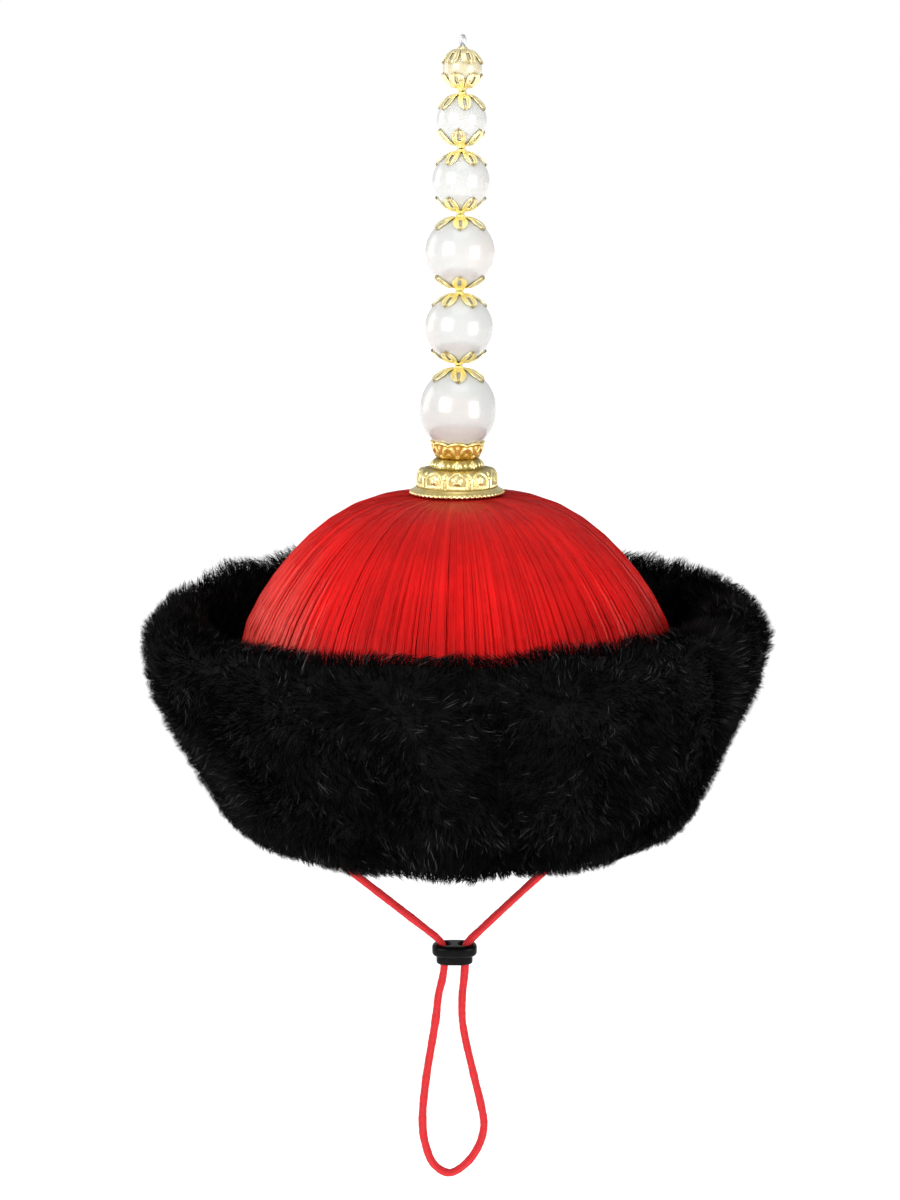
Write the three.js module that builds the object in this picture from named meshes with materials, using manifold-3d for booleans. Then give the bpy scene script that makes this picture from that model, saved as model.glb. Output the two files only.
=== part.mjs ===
// A mandarin winter hat: a domed cap covered with red threads, a turned-up brim of black fur,
// a cast gilt base that carries an upright string of pearls in petalled caps, and a chin cord with a slider.
// Millimetres, +Z up, the front faces -Y. The origin is the centre of the head opening, level with its edge.

import * as THREE from "three";
import { mergeVertices } from "three/addons/utils/BufferGeometryUtils.js";
import Module from "manifold-3d";

const wasm = await Module();
wasm.setup();

// Clearances
const SEAT_GAP = 0.3; // between pieces that touch on the real hat
const SKIN_GAP = 0.4; // between two faceted skins, one over the other
const CAP_GAP = 0.5; // between a faceted bead and its petalled cap
const CORD_PLAY = 0.9; // round the cord in the slider's holes
const PIN_PLAY = 0.6; // round the pin in the beads, caps and base

// Cap of the crown
const HEAD_WIDTH = 176; // head opening, side to side
const HEAD_DEPTH = 192; // head opening, front to back
const CROWN_HEIGHT = 145;
const CROWN_WALL = 2;
const BAND_HEIGHT = 66; // upright part of the wall, below the dome
const GORES = 6; // panels that the cap is sewn from
const GORE_COLUMNS = 4;
// The dome's outside, as shares of the wall's radius and of the dome's height.
const DOME_ROWS = [
  { name: "spring", out: 1, up: 0 },
  { name: "haunch", out: 0.99, up: 0.2 },
  { name: "lower slope", out: 0.93, up: 0.39 },
  { name: "upper slope", out: 0.78, up: 0.66 },
  { name: "shoulder", out: 0.61, up: 0.85 },
  { name: "top", out: 0.43, up: 0.96 },
];

// Threads that lie over the dome
const FRINGE_END = 62; // height of the thread ends
const FRINGE_TOP_DEPTH = 1.2;
const FRINGE_END_DEPTH = 9;
const FRINGE_BORE = 12; // radius of the bare ring that the threads start from, under the gilt base
const LOCKS = 27;
const LOCK_DEPTH = 1.1; // how far a lock stands out between its grooves, at the ends
const LOCK_RAG = 3; // how far the ends of the locks differ in height

// Fur brim
const BRIM_REACH = 53; // from the cap's wall to the outermost fur
const BRIM_HEIGHT = 103;
const TROUGH_WIDTH = 9; // open way between the threads and the fur
const TUFT_DEPTH = 2.4;
const TUFT_UNEVENNESS = 0.35; // how far the tufts differ in depth, as a share of it
const BRIM_COLUMNS = 60;

// Gilt base and cup of the finial
const BASE_RADIUS = 20.6;
const BASE_HEIGHT = 16;
const BASE_RELIEF = 0.8;
const LOWER_PETALS = 10;
const UPPER_PETALS = 8;
const BASE_COLUMNS = 40;
const CUP_RADIUS = 12.4;
const CUP_HEIGHT = 7.2;
const CUP_WALL = 0.9;
const CUP_SCALLOPS = 8;
const CUP_DIP = 0.2; // how far the rim dips between two scallops, as a share of the cup's height
const CUP_VALLEY = 0.08; // how far the wall draws in between two scallops, as a share of the cup's radius

// String of beads
const PIN_RADIUS = 1.1;
const PIN_HEAD_RADIUS = 5;
const PIN_HEAD_HEIGHT = 1.5;
const EYE_RADIUS = 1;
const EYE_WIRE = 0.5;
const EYE_STRETCH = 1.8; // the eye is drawn out upwards
const EYE_STEPS = 8; // round the eye's ring
const WIRE_SIDES = 6;
const PIN_SIDES = 8;
const STRING_LEAN = 0.7; // degrees towards +X
const CAP_WALL = 0.8;
const CAP_PETALS = 6;
const CAP_REACH = 54; // degrees from the bead's pole to a petal's tip
const TOP_CAP_REACH = 72;
const BEAD_SIDES = 12;
const BEAD_RINGS = 7; // from one end of a bead to the other
const PEARL_RADIUS = 17.1; // of the lowest pearl
// Each bead's size is a share of the lowest pearl's, and tall is its half height as a share of its own radius.
const BEADS = [
  { name: "pearl_1", size: 1, tall: 1.064, reach: CAP_REACH, caps: ["top"], turn: 0 },
  { name: "pearl_2", size: 0.883, tall: 0.987, reach: CAP_REACH, caps: ["bottom", "top"], turn: 30 },
  { name: "pearl_3", size: 0.895, tall: 0.993, reach: CAP_REACH, caps: ["bottom", "top"], turn: 0 },
  { name: "pearl_4", size: 0.725, tall: 1.016, reach: CAP_REACH, caps: ["bottom", "top"], turn: 30 },
  { name: "pearl_5", size: 0.632, tall: 0.99, reach: CAP_REACH, caps: ["bottom", "top"], turn: 8 },
  { name: "top_bead", size: 0.491, tall: 0.965, reach: TOP_CAP_REACH, caps: ["bottom", "top"], turn: 20 },
];

// Chin cord, its slider and the tabs that hold its ends
const CORD_DIAMETER = 3.4;
const CORD_SIDES = 8;
const CORD_STEPS = 62;
const SLIDER_WIDTH = 20.8;
const SLIDER_DEPTH = 12;
const SLIDER_HEIGHT = 5.4;
const SLIDER_FOOT_HEIGHT = 4;
const SLIDER_FOOT_INSET = 2; // the foot is this much narrower all round
const SLIDER_EDGE = 1.3; // rounding of the head's edges
const SLIDER_EDGE_STEPS = 2;
const SLIDER_END_STEPS = 4; // round each quarter of its two ends
const HOLE_SIDES = 10;
const SLIDER_HOLES = 9.6; // between the centres of the two holes
const SLIDER_SINK = 1.6; // how much wider each hole is at its mouth
const SLIDER_SINK_DEPTH = 4;
const SLIDER_X = -1;
const SLIDER_Z = -72.9; // underside of the foot
const TAB_WIDTH = 10;
const TAB_HEIGHT = 14;
const TAB_DEPTH = 4.4;
const TAB_Z = 13;
const TAB_STAND = 0.9; // a flat tab stands this far off the round wall
// The cord's own points, from the left tab through the slider, round the loop and back to the right tab.
const CORD_ROUTE = [
  [-84.8, 0, 12.7],
  [-84.8, 0, 8.6],
  [-83.8, 0.1, 3.2],
  [-79.5, 0.2, -3],
  [-71, 0.4, -10.2],
  [-48.3, 0.6, -29.2],
  [-26.6, 0.4, -46.7],
  [-13, 0.2, -57.6],
  [-8.9, 0, -61],
  [-6.6, 0, -64.2],
  [-5.8, 0, -68],
  [-5.8, 0, -74.5],
  [-6.6, 0.2, -80.5],
  [-8.4, 0.5, -88.5],
  [-9.8, 0.9, -101],
  [-14.4, 1.5, -131],
  [-16, 1.2, -150],
  [-15, 0.8, -161],
  [-10.6, 0.3, -172.3],
  [-3.5, 0, -176.4],
  [4.4, -0.3, -171.6],
  [10.6, -0.8, -162],
  [12.8, -1.2, -152],
  [11.2, -1.4, -141],
  [8.4, -1.2, -129],
  [2.8, -0.6, -102],
  [2.6, -0.3, -88.5],
  [3.4, -0.1, -80.5],
  [3.8, 0, -74.5],
  [3.8, 0, -68],
  [4.5, 0, -64.4],
  [6.6, 0, -61.4],
  [11, 0.1, -57],
  [20.9, 0.4, -47.4],
  [39.4, 0.6, -29.8],
  [57, 0.5, -13.6],
  [72, 0.3, -1],
  [80, 0.1, 4.4],
  [83.8, 0, 8.2],
  [84.8, 0, 12.7],
];

const bandRadius = HEAD_WIDTH / 2 + CROWN_WALL; // outside of the cap's wall
const ovalExtra = (HEAD_DEPTH - HEAD_WIDTH) / 2;
const radians = THREE.MathUtils.degToRad;

// The oval plan: a ring of this radius is wider front to back, and the extra fades towards the axis.
function onOval(radius, angle, z) {
  const extra = ovalExtra * Math.min(1, radius / bandRadius);
  return new THREE.Vector3(radius * Math.sin(angle), -(radius + extra) * Math.cos(angle), z);
}

function onRound(radius, angle, z) {
  return new THREE.Vector3(radius * Math.sin(angle), -radius * Math.cos(angle), z);
}

// A closed section of {r, z} rows turned round the axis. shape may move each point.
function turned(rows, columns, place, shape = (row) => row) {
  const profile = [...rows, rows[0]].map((row) => new THREE.Vector2(row.r, row.z));
  const geometry = new THREE.LatheGeometry(profile, columns);
  const positions = geometry.getAttribute("position");
  for (let i = 0; i < positions.count; i++) {
    const column = Math.floor(i / profile.length) % columns;
    const index = (i % profile.length) % rows.length;
    const angle = (column / columns) * 2 * Math.PI;
    const point = shape(rows[index], angle, column, index);
    positions.setXYZ(i, ...place(point.r, angle, point.z).toArray());
  }
  return geometry;
}

// A wall between an outer and an inner skin, on a grid that closes round the axis. Its rows go up the outside,
// and its open cells are holes.
function gridWall(columns, rows, outer, inner, isOpen = () => false) {
  const points = [];
  for (const skin of [outer, inner])
    for (let row = 0; row < rows; row++)
      for (let column = 0; column < columns; column++) points.push(...skin(column, row).toArray());
  const index = [];
  const at = (skin, column, row) => (skin * rows + row) * columns + (column % columns);
  const corners = (skin, column, row) => [
    at(skin, column, row),
    at(skin, column + 1, row),
    at(skin, column + 1, row + 1),
    at(skin, column, row + 1),
  ];
  const quad = (a, b, c, d) => index.push(a, b, c, a, c, d);
  const isWall = (column, row) =>
    row >= 0 && row < rows - 1 && !isOpen((column + columns) % columns, row);
  for (let row = 0; row < rows - 1; row++)
    for (let column = 0; column < columns; column++) {
      if (!isWall(column, row)) continue;
      const [o00, o10, o11, o01] = corners(0, column, row);
      const [i00, i10, i11, i01] = corners(1, column, row);
      quad(o00, o10, o11, o01);
      quad(i00, i01, i11, i10);
      if (!isWall(column, row - 1)) quad(i00, i10, o10, o00);
      if (!isWall(column, row + 1)) quad(o01, o11, i11, i01);
      if (!isWall(column - 1, row)) quad(o00, o01, i01, i00);
      if (!isWall(column + 1, row)) quad(o11, o10, i10, i11);
    }
  const geometry = new THREE.BufferGeometry();
  geometry.setAttribute("position", new THREE.Float32BufferAttribute(points, 3));
  geometry.setIndex(index);
  return geometry;
}

function toSolid(geometry) {
  const bare = geometry.clone();
  for (const name of Object.keys(bare.attributes)) if (name !== "position") bare.deleteAttribute(name);
  const merged = mergeVertices(bare, 1e-4);
  return new wasm.Manifold(
    new wasm.Mesh({
      numProp: 3,
      vertProperties: merged.getAttribute("position").array,
      triVerts: new Uint32Array(merged.getIndex().array),
    }),
  );
}

function toGeometry(solid) {
  const mesh = solid.getMesh();
  const geometry = new THREE.BufferGeometry();
  geometry.setAttribute("position", new THREE.Float32BufferAttribute(mesh.vertProperties, 3));
  geometry.setIndex(new THREE.BufferAttribute(mesh.triVerts, 1));
  return geometry;
}

// Materials
const scarletThread = new THREE.MeshStandardMaterial({ color: 0xd8201e, roughness: 0.45 });
const blackFur = new THREE.MeshStandardMaterial({ color: 0x0b0b0d, roughness: 0.9 });
const blackCloth = new THREE.MeshStandardMaterial({ color: 0x17171a, roughness: 0.95 });
const gilt = new THREE.MeshStandardMaterial({ color: 0xd9b84e, roughness: 0.3, metalness: 1 });
const pearlGlaze = new THREE.MeshStandardMaterial({ color: 0xf1ede6, roughness: 0.2 });
const steel = new THREE.MeshStandardMaterial({ color: 0xc9cacc, roughness: 0.25, metalness: 1 });
const redCord = new THREE.MeshStandardMaterial({ color: 0xe0353a, roughness: 0.8 });
const blackPlastic = new THREE.MeshStandardMaterial({ color: 0x101010, roughness: 0.35 });

const hat = new THREE.Group();

function add(name, geometry, material, parent = hat) {
  const mesh = new THREE.Mesh(geometry, material);
  mesh.name = name;
  parent.add(mesh);
  return mesh;
}

// Cap of the crown
const domeHeight = CROWN_HEIGHT - BAND_HEIGHT;
const crownBore = PIN_RADIUS + PIN_PLAY;

// The rows of a skin over the cap, from its lower edge up to the flat top where the threads begin. Each row is
// moved out by offsetAt, which gets the row's share of the dome's height.
function domeRows(lowerEdge, offsetAt) {
  const dome = [...DOME_ROWS, { out: FRINGE_BORE / bandRadius, up: 1 }].map(({ out, up }) => ({
    r: bandRadius * out,
    z: BAND_HEIGHT + domeHeight * up,
    up,
  }));
  const rows = dome.map((row, index) => {
    const before = dome[Math.max(0, index - 1)];
    const after = dome[Math.min(dome.length - 1, index + 1)];
    const isEnd = index === 0 || index === dome.length - 1;
    const normal = isEnd
      ? new THREE.Vector2(index === 0 ? 1 : 0, index === 0 ? 0 : 1)
      : new THREE.Vector2(after.z - before.z, before.r - after.r).normalize();
    const offset = offsetAt(row.up);
    return { r: row.r + offset * normal.x, z: row.z + offset * normal.y };
  });
  return [{ r: rows[0].r, z: lowerEdge }, ...rows];
}

const capOutside = [...domeRows(0, () => 0), { r: crownBore, z: CROWN_HEIGHT }];
const capInside = [...domeRows(0, () => -CROWN_WALL), { r: crownBore, z: CROWN_HEIGHT - CROWN_WALL }];

// One gore of the cap. Its two seams have a gap of the same width from the lower edge to the top.
function gore(number) {
  const section = [...capOutside, ...capInside.toReversed()];
  const points = [];
  for (let column = 0; column <= GORE_COLUMNS; column++) {
    const inset = column === 0 ? SEAT_GAP / 2 : column === GORE_COLUMNS ? -SEAT_GAP / 2 : 0;
    const turn = ((number + column / GORE_COLUMNS) / GORES) * 2 * Math.PI;
    for (const row of section) points.push(...onOval(row.r, turn + inset / row.r, row.z).toArray());
  }
  const index = [];
  const at = (column, k) => column * section.length + (k % section.length);
  const quad = (a, b, c, d) => index.push(a, b, c, a, c, d);
  for (let column = 0; column < GORE_COLUMNS; column++)
    for (let k = 0; k < section.length; k++)
      quad(at(column, k), at(column + 1, k), at(column + 1, k + 1), at(column, k + 1));
  for (let row = 0; row < capOutside.length - 1; row++) {
    const inner = section.length - 1 - row;
    quad(at(0, row), at(0, row + 1), at(0, inner - 1), at(0, inner));
    const last = GORE_COLUMNS;
    quad(at(last, inner), at(last, inner - 1), at(last, row + 1), at(last, row));
  }
  const geometry = new THREE.BufferGeometry();
  geometry.setAttribute("position", new THREE.Float32BufferAttribute(points, 3));
  geometry.setIndex(index);
  return geometry;
}
for (let number = 0; number < GORES; number++) add(`crown_gore_${number + 1}`, gore(number), blackCloth);

// Threads over the dome, in locks that end ragged
const fringeDepthAt = (up) => THREE.MathUtils.lerp(FRINGE_END_DEPTH, FRINGE_TOP_DEPTH, up);
const fringeOutside = domeRows(FRINGE_END, fringeDepthAt);
const fringeInside = domeRows(FRINGE_END, () => SKIN_GAP);
const fringeRows = [...fringeOutside, ...fringeInside.reverse()];

function lockShape(row, angle, column, index) {
  const lock = Math.floor(column / 2);
  const isGroove = column % 2 === 1;
  const isEnd = index === 0 || index === fringeRows.length - 1;
  const onOutside = index < fringeOutside.length;
  const share = 1 - index / fringeOutside.length;
  const rag = isEnd ? (LOCK_RAG / 2) * Math.sin(lock * 2.4) : 0;
  const groove = onOutside && isGroove ? LOCK_DEPTH * share : 0;
  return { r: row.r - groove, z: row.z + rag };
}
add("thread_fringe", turned(fringeRows, 2 * LOCKS, onOval, lockShape), scarletThread);

// Fur brim. Its outer rows are shares of the reach, and its inner rows shares of the trough's width.
const brimSeat = bandRadius + SEAT_GAP + SKIN_GAP / 2;
const troughWall = bandRadius + FRINGE_END_DEPTH + SEAT_GAP;
const BRIM_OUTSIDE = [
  { name: "foot", out: 0.05, up: -0.01, tuft: 0.3 },
  { name: "underside", out: 0.19, up: -0.01, tuft: 0.7 },
  { name: "lower edge", out: 0.33, up: 0.08, tuft: 1 },
  { name: "lower side", out: 0.48, up: 0.21, tuft: 1 },
  { name: "side", out: 0.65, up: 0.4, tuft: 1 },
  { name: "upper side", out: 0.85, up: 0.58, tuft: 1 },
  { name: "widest", out: 0.98, up: 0.77, tuft: 1 },
  { name: "shoulder", out: 0.93, up: 0.92, tuft: 1 },
  { name: "crest", out: 0.72, up: 1, tuft: 1 },
];
const BRIM_INSIDE = [
  { name: "inner shoulder", trough: 1.6, up: 0.94, tuft: 0.8 },
  { name: "inner side", trough: 1, up: 0.82, tuft: 0.6 },
  { name: "trough", trough: 0.55, up: 0.6, tuft: 0.3 },
  { name: "seat top", trough: 0, up: 0.42, tuft: 0 },
  { name: "seat foot", trough: 0, up: 0.03, tuft: 0 },
];
// Places where the crest lies a little higher or lower, as shares of the brim's height.
const CREST_SWELLS = [
  { at: 42, wide: 30, lift: 0.035 },
  { at: -35, wide: 24, lift: -0.015 },
  { at: -88, wide: 26, lift: -0.035 },
  { at: 96, wide: 26, lift: 0.015 },
  { at: 165, wide: 34, lift: -0.012 },
];
const brimRows = [
  ...BRIM_OUTSIDE.map((row) => ({ ...row, r: brimSeat + BRIM_REACH * row.out, z: BRIM_HEIGHT * row.up })),
  ...BRIM_INSIDE.map((row) => ({
    ...row,
    r: row.trough > 0 ? troughWall + TROUGH_WIDTH * row.trough : brimSeat,
    z: BRIM_HEIGHT * row.up,
  })),
];

function crestLift(angle) {
  let lift = 0;
  for (const swell of CREST_SWELLS) {
    const turn = angle - radians(swell.at) + Math.PI;
    const away = THREE.MathUtils.euclideanModulo(turn, 2 * Math.PI) - Math.PI;
    lift += swell.lift * Math.exp(-((away / radians(swell.wide)) ** 2));
  }
  return BRIM_HEIGHT * lift;
}

// Every second point of the fur is a tuft's tip, and the points between are the hollows around it.
function furShape(row, angle, column, index) {
  const before = brimRows.at(index - 1);
  const after = brimRows[(index + 1) % brimRows.length];
  const normal = new THREE.Vector2(after.z - before.z, before.r - after.r).normalize();
  const isTip = (column + index) % 2 === 0;
  const uneven = 1 + TUFT_UNEVENNESS * Math.sin(column * 1.7 + index * 2.9);
  const stand = (isTip ? 0.5 : -0.5) * TUFT_DEPTH * row.tuft * uneven;
  const lift = crestLift(angle) * Math.max(0, row.up) ** 2;
  return { r: row.r + stand * normal.x, z: row.z + stand * normal.y + lift };
}
add("fur_brim", turned(brimRows, BRIM_COLUMNS, onOval, furShape), blackFur);

// Gilt base with two tiers of petals in relief
const baseBore = PIN_RADIUS + PIN_PLAY;
const BASE_ROWS = [
  { name: "flange foot", out: 0.97, up: 0, lower: 0, upper: 0 },
  { name: "flange edge", out: 1, up: 0.07, lower: 0, upper: 0 },
  { name: "flange top", out: 0.96, up: 0.15, lower: 0, upper: 0 },
  { name: "belly foot", out: 0.86, up: 0.17, lower: 0.2, upper: 0 },
  { name: "belly", out: 0.85, up: 0.32, lower: 1, upper: 0 },
  { name: "belly top", out: 0.84, up: 0.56, lower: 1, upper: 0 },
  { name: "belly lip", out: 0.8, up: 0.66, lower: 0.4, upper: 0 },
  { name: "shoulder", out: 0.6, up: 0.73, lower: 0, upper: 0 },
  { name: "neck", out: 0.56, up: 0.8, lower: 0, upper: 0.9 },
  { name: "neck top", out: 0.51, up: 0.92, lower: 0, upper: 1 },
  { name: "seat of the cup", out: 0.46, up: 1, lower: 0, upper: 0 },
];
const baseRows = [
  ...BASE_ROWS.map((row) => ({ ...row, r: BASE_RADIUS * row.out, z: BASE_HEIGHT * row.up })),
  { r: baseBore, z: BASE_HEIGHT, lower: 0, upper: 0 },
  { r: baseBore, z: 0, lower: 0, upper: 0 },
];

function petalRelief(row, angle) {
  const lower = row.lower * Math.sqrt(Math.abs(Math.cos((angle * LOWER_PETALS) / 2)));
  const upper = row.upper * Math.sqrt(Math.abs(Math.cos((angle * UPPER_PETALS) / 2)));
  return { r: row.r + BASE_RELIEF * (lower + upper), z: row.z };
}
const baseFoot = CROWN_HEIGHT + FRINGE_TOP_DEPTH + SEAT_GAP;
add("finial_base", turned(baseRows, BASE_COLUMNS, onRound, petalRelief), gilt).position.z = baseFoot;

// The string of beads stands on the base and leans a little to one side.
const string = new THREE.Group();
string.position.z = baseFoot;
string.rotation.y = radians(STRING_LEAN);
hat.add(string);

// Scalloped cup that the lowest pearl sits in
const CUP_ROWS = [
  { name: "bore", out: 0, up: 0, dip: 0, bulge: 0 },
  { name: "floor", out: 0.72, up: 0, dip: 0, bulge: 0 },
  { name: "side", out: 0.86, up: 0.45, dip: 0.4, bulge: 1 },
  { name: "rim", out: 1, up: 1, dip: 1, bulge: 0.4 },
];
const cupFoot = BASE_HEIGHT + SEAT_GAP;
const cupColumns = 3 * CUP_SCALLOPS;

function cupPoint(column, row, inset) {
  const { out, up, dip, bulge } = CUP_ROWS[row];
  const isValley = column % 3 === 0;
  const isFloor = row < 2;
  const radius = row === 0 ? baseBore : CUP_RADIUS * (out - (isValley ? CUP_VALLEY * bulge : 0));
  const height = CUP_HEIGHT * (up - (isValley ? CUP_DIP * dip : 0));
  const angle = (column / cupColumns) * 2 * Math.PI;
  return onRound(row === 0 ? radius : radius - inset, angle, cupFoot + height + (isFloor ? inset : 0));
}
const cup = gridWall(
  cupColumns,
  CUP_ROWS.length,
  (column, row) => cupPoint(column, row, 0),
  (column, row) => cupPoint(column, row, CUP_WALL),
);
add("finial_cup", cup, gilt, string);

// A drilled bead, standing on its own centre
function bead(radius, half) {
  const bore = PIN_RADIUS + PIN_PLAY;
  const start = Math.asin(bore / radius);
  const rings = BEAD_RINGS;
  const rows = [];
  for (let ring = 0; ring < rings; ring++) {
    const angle = THREE.MathUtils.lerp(start, Math.PI - start, ring / (rings - 1));
    rows.push({ r: radius * Math.sin(angle), z: -half * Math.cos(angle) });
  }
  return turned(rows, BEAD_SIDES, onRound);
}

// A cap of pierced petals over the upper pole of a bead. side and valley are shares of the petal's reach,
// and spread is half the petal's width as a share of its pitch.
const CAP_ROWS = [
  { name: "tip", side: 1, valley: 0.56, spread: 0.1 },
  { name: "upper hole edge", side: 0.82, valley: 0.5, spread: 0.3 },
  { name: "lower hole edge", side: 0.5, valley: 0.4, spread: 0.3 },
  { name: "bore", side: 0, valley: 0, spread: 0.33 },
];
const HOLE_ROW = 1;
const capPitch = (2 * Math.PI) / CAP_PETALS;

function petalCap(radius, half, reach) {
  const bore = Math.asin((PIN_RADIUS + PIN_PLAY) / radius);
  const point = (column, row, offset) => {
    const { side, valley, spread } = CAP_ROWS[row];
    const kind = column % 3;
    const petal = Math.floor(column / 3);
    const polar = Math.max(bore, radians(reach) * (kind === 0 ? valley : side));
    const across = kind === 0 ? -0.5 : kind === 1 ? -spread / 2 : spread / 2;
    return onRound(
      (radius + offset) * Math.sin(polar),
      (petal + across) * capPitch,
      (half + offset) * Math.cos(polar),
    );
  };
  return gridWall(
    3 * CAP_PETALS,
    CAP_ROWS.length,
    (column, row) => point(column, row, CAP_GAP + CAP_WALL),
    (column, row) => point(column, row, CAP_GAP),
    (column, row) => row === HOLE_ROW && column % 3 === 1,
  );
}

// Beads and caps, stacked from the cup upwards
const cupMouth = CUP_RADIUS - CUP_WALL;
const sunkShare = 1 - Math.sqrt(1 - (cupMouth / PEARL_RADIUS) ** 2); // of the lowest pearl's lower half
let stackTop = cupFoot + CUP_HEIGHT + SKIN_GAP - PEARL_RADIUS * BEADS[0].tall * sunkShare;
for (const { name, size, tall, reach, caps, turn } of BEADS) {
  const radius = PEARL_RADIUS * size;
  const half = radius * tall;
  const hasFoot = caps.includes("bottom");
  const centre = stackTop + half + (hasFoot ? CAP_GAP + CAP_WALL : 0);
  add(name, bead(radius, half), pearlGlaze, string).position.z = centre;
  for (const place of caps) {
    const petals = add(`${name}_cap_${place}`, petalCap(radius, half, reach), gilt, string);
    petals.position.z = centre;
    petals.rotation.set(place === "bottom" ? Math.PI : 0, 0, radians(turn));
  }
  stackTop = centre + half + CAP_GAP + CAP_WALL + SEAT_GAP;
}

// Pin from under the crown up through the beads, ending in an eye
const pinFoot = CROWN_HEIGHT - CROWN_WALL - SEAT_GAP - baseFoot;
const pinTop = stackTop + EYE_WIRE;
const pinProfile = [
  new THREE.Vector2(0, pinFoot - PIN_HEAD_HEIGHT),
  new THREE.Vector2(PIN_HEAD_RADIUS, pinFoot - PIN_HEAD_HEIGHT),
  new THREE.Vector2(PIN_HEAD_RADIUS, pinFoot),
  new THREE.Vector2(PIN_RADIUS, pinFoot),
  new THREE.Vector2(PIN_RADIUS, pinTop),
  new THREE.Vector2(0, pinTop),
];
const rod = new THREE.LatheGeometry(pinProfile, PIN_SIDES).rotateX(Math.PI / 2);
const eye = new THREE.TorusGeometry(EYE_RADIUS, EYE_WIRE, WIRE_SIDES, EYE_STEPS)
  .rotateX(Math.PI / 2)
  .scale(1, 1, EYE_STRETCH)
  .translate(0, 0, pinTop + EYE_RADIUS * EYE_STRETCH);
add("finial_pin", toGeometry(toSolid(rod).add(toSolid(eye))), steel, string);

// Chin cord
const cordCurve = new THREE.CatmullRomCurve3(CORD_ROUTE.map((point) => new THREE.Vector3(...point)));
cordCurve.arcLengthDivisions = 2000;
const cordSection = new THREE.Shape();
for (let side = 0; side < CORD_SIDES; side++) {
  const angle = (side / CORD_SIDES) * 2 * Math.PI;
  const point = [(CORD_DIAMETER / 2) * Math.cos(angle), (CORD_DIAMETER / 2) * Math.sin(angle)];
  if (side === 0) cordSection.moveTo(...point);
  else cordSection.lineTo(...point);
}
cordSection.closePath();
const cord = new THREE.ExtrudeGeometry(cordSection, { steps: CORD_STEPS, extrudePath: cordCurve });
add("chin_cord", cord, redCord);

// Slider with two holes
function stadium(width, depth) {
  const shape = new THREE.Shape();
  const half = (width - depth) / 2;
  shape.absarc(half, 0, depth / 2, -Math.PI / 2, Math.PI / 2);
  shape.absarc(-half, 0, depth / 2, Math.PI / 2, (3 * Math.PI) / 2);
  return shape;
}
const sliderTotal = SLIDER_HEIGHT + SLIDER_FOOT_HEIGHT;
const sliderHead = new THREE.ExtrudeGeometry(
  stadium(SLIDER_WIDTH - 2 * SLIDER_EDGE, SLIDER_DEPTH - 2 * SLIDER_EDGE),
  {
    depth: SLIDER_HEIGHT - 2 * SLIDER_EDGE,
    bevelThickness: SLIDER_EDGE,
    bevelSize: SLIDER_EDGE,
    bevelSegments: SLIDER_EDGE_STEPS,
    curveSegments: SLIDER_END_STEPS,
  },
).translate(0, 0, SLIDER_FOOT_HEIGHT + SLIDER_EDGE);
const sliderFoot = new THREE.ExtrudeGeometry(
  stadium(SLIDER_WIDTH - 2 * SLIDER_FOOT_INSET, SLIDER_DEPTH - 2 * SLIDER_FOOT_INSET),
  { depth: SLIDER_FOOT_HEIGHT + SLIDER_EDGE, bevelEnabled: false, curveSegments: SLIDER_END_STEPS },
);
let slider = toSolid(sliderHead).add(toSolid(sliderFoot));
const holeRadius = CORD_DIAMETER / 2 + CORD_PLAY;

// A round cut that may widen upwards. Its middle is at the height z, and it reaches as far below as above.
function roundCut(x, z, lowerRadius, upperRadius, reach) {
  const cut = new THREE.CylinderGeometry(upperRadius, lowerRadius, 2 * reach, HOLE_SIDES);
  return toSolid(cut.rotateX(Math.PI / 2).translate(x, 0, z));
}
for (const side of [-1, 1]) {
  const x = (side * SLIDER_HOLES) / 2;
  const hole = roundCut(x, 0, holeRadius, holeRadius, sliderTotal);
  const mouth = roundCut(x, sliderTotal, holeRadius, holeRadius + 2 * SLIDER_SINK, SLIDER_SINK_DEPTH);
  slider = slider.subtract(hole).subtract(mouth);
}
const sliderMesh = add("cord_slider", toGeometry(slider), blackPlastic);
sliderMesh.position.set(SLIDER_X, 0, SLIDER_Z);

// Sewn tabs that hold the cord's ends, inside the cap's wall
for (const [name, side] of [["cord_tab_left", -1], ["cord_tab_right", 1]]) {
  const tab = add(name, new THREE.BoxGeometry(TAB_DEPTH, TAB_WIDTH, TAB_HEIGHT), blackCloth);
  tab.position.set(side * (HEAD_WIDTH / 2 - TAB_STAND - TAB_DEPTH / 2), 0, TAB_Z + TAB_HEIGHT / 2);
}

export default hat;
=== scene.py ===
"""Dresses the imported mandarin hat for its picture.

The hat is a cloth cap under a dome of red silk threads, with an upturned brim of black fur, a string of
pearls in petalled caps on a cast gilt base, and a red chin cord with a two-hole slider. Sizes are in
millimetres, and a finished mesh is brought to metres.
"""

import logging
import math
from dataclasses import dataclass
from enum import Enum
from typing import Callable, Iterable, Sequence

import bmesh
import bpy
import numpy as np
from mathutils import Matrix, Vector, kdtree


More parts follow.
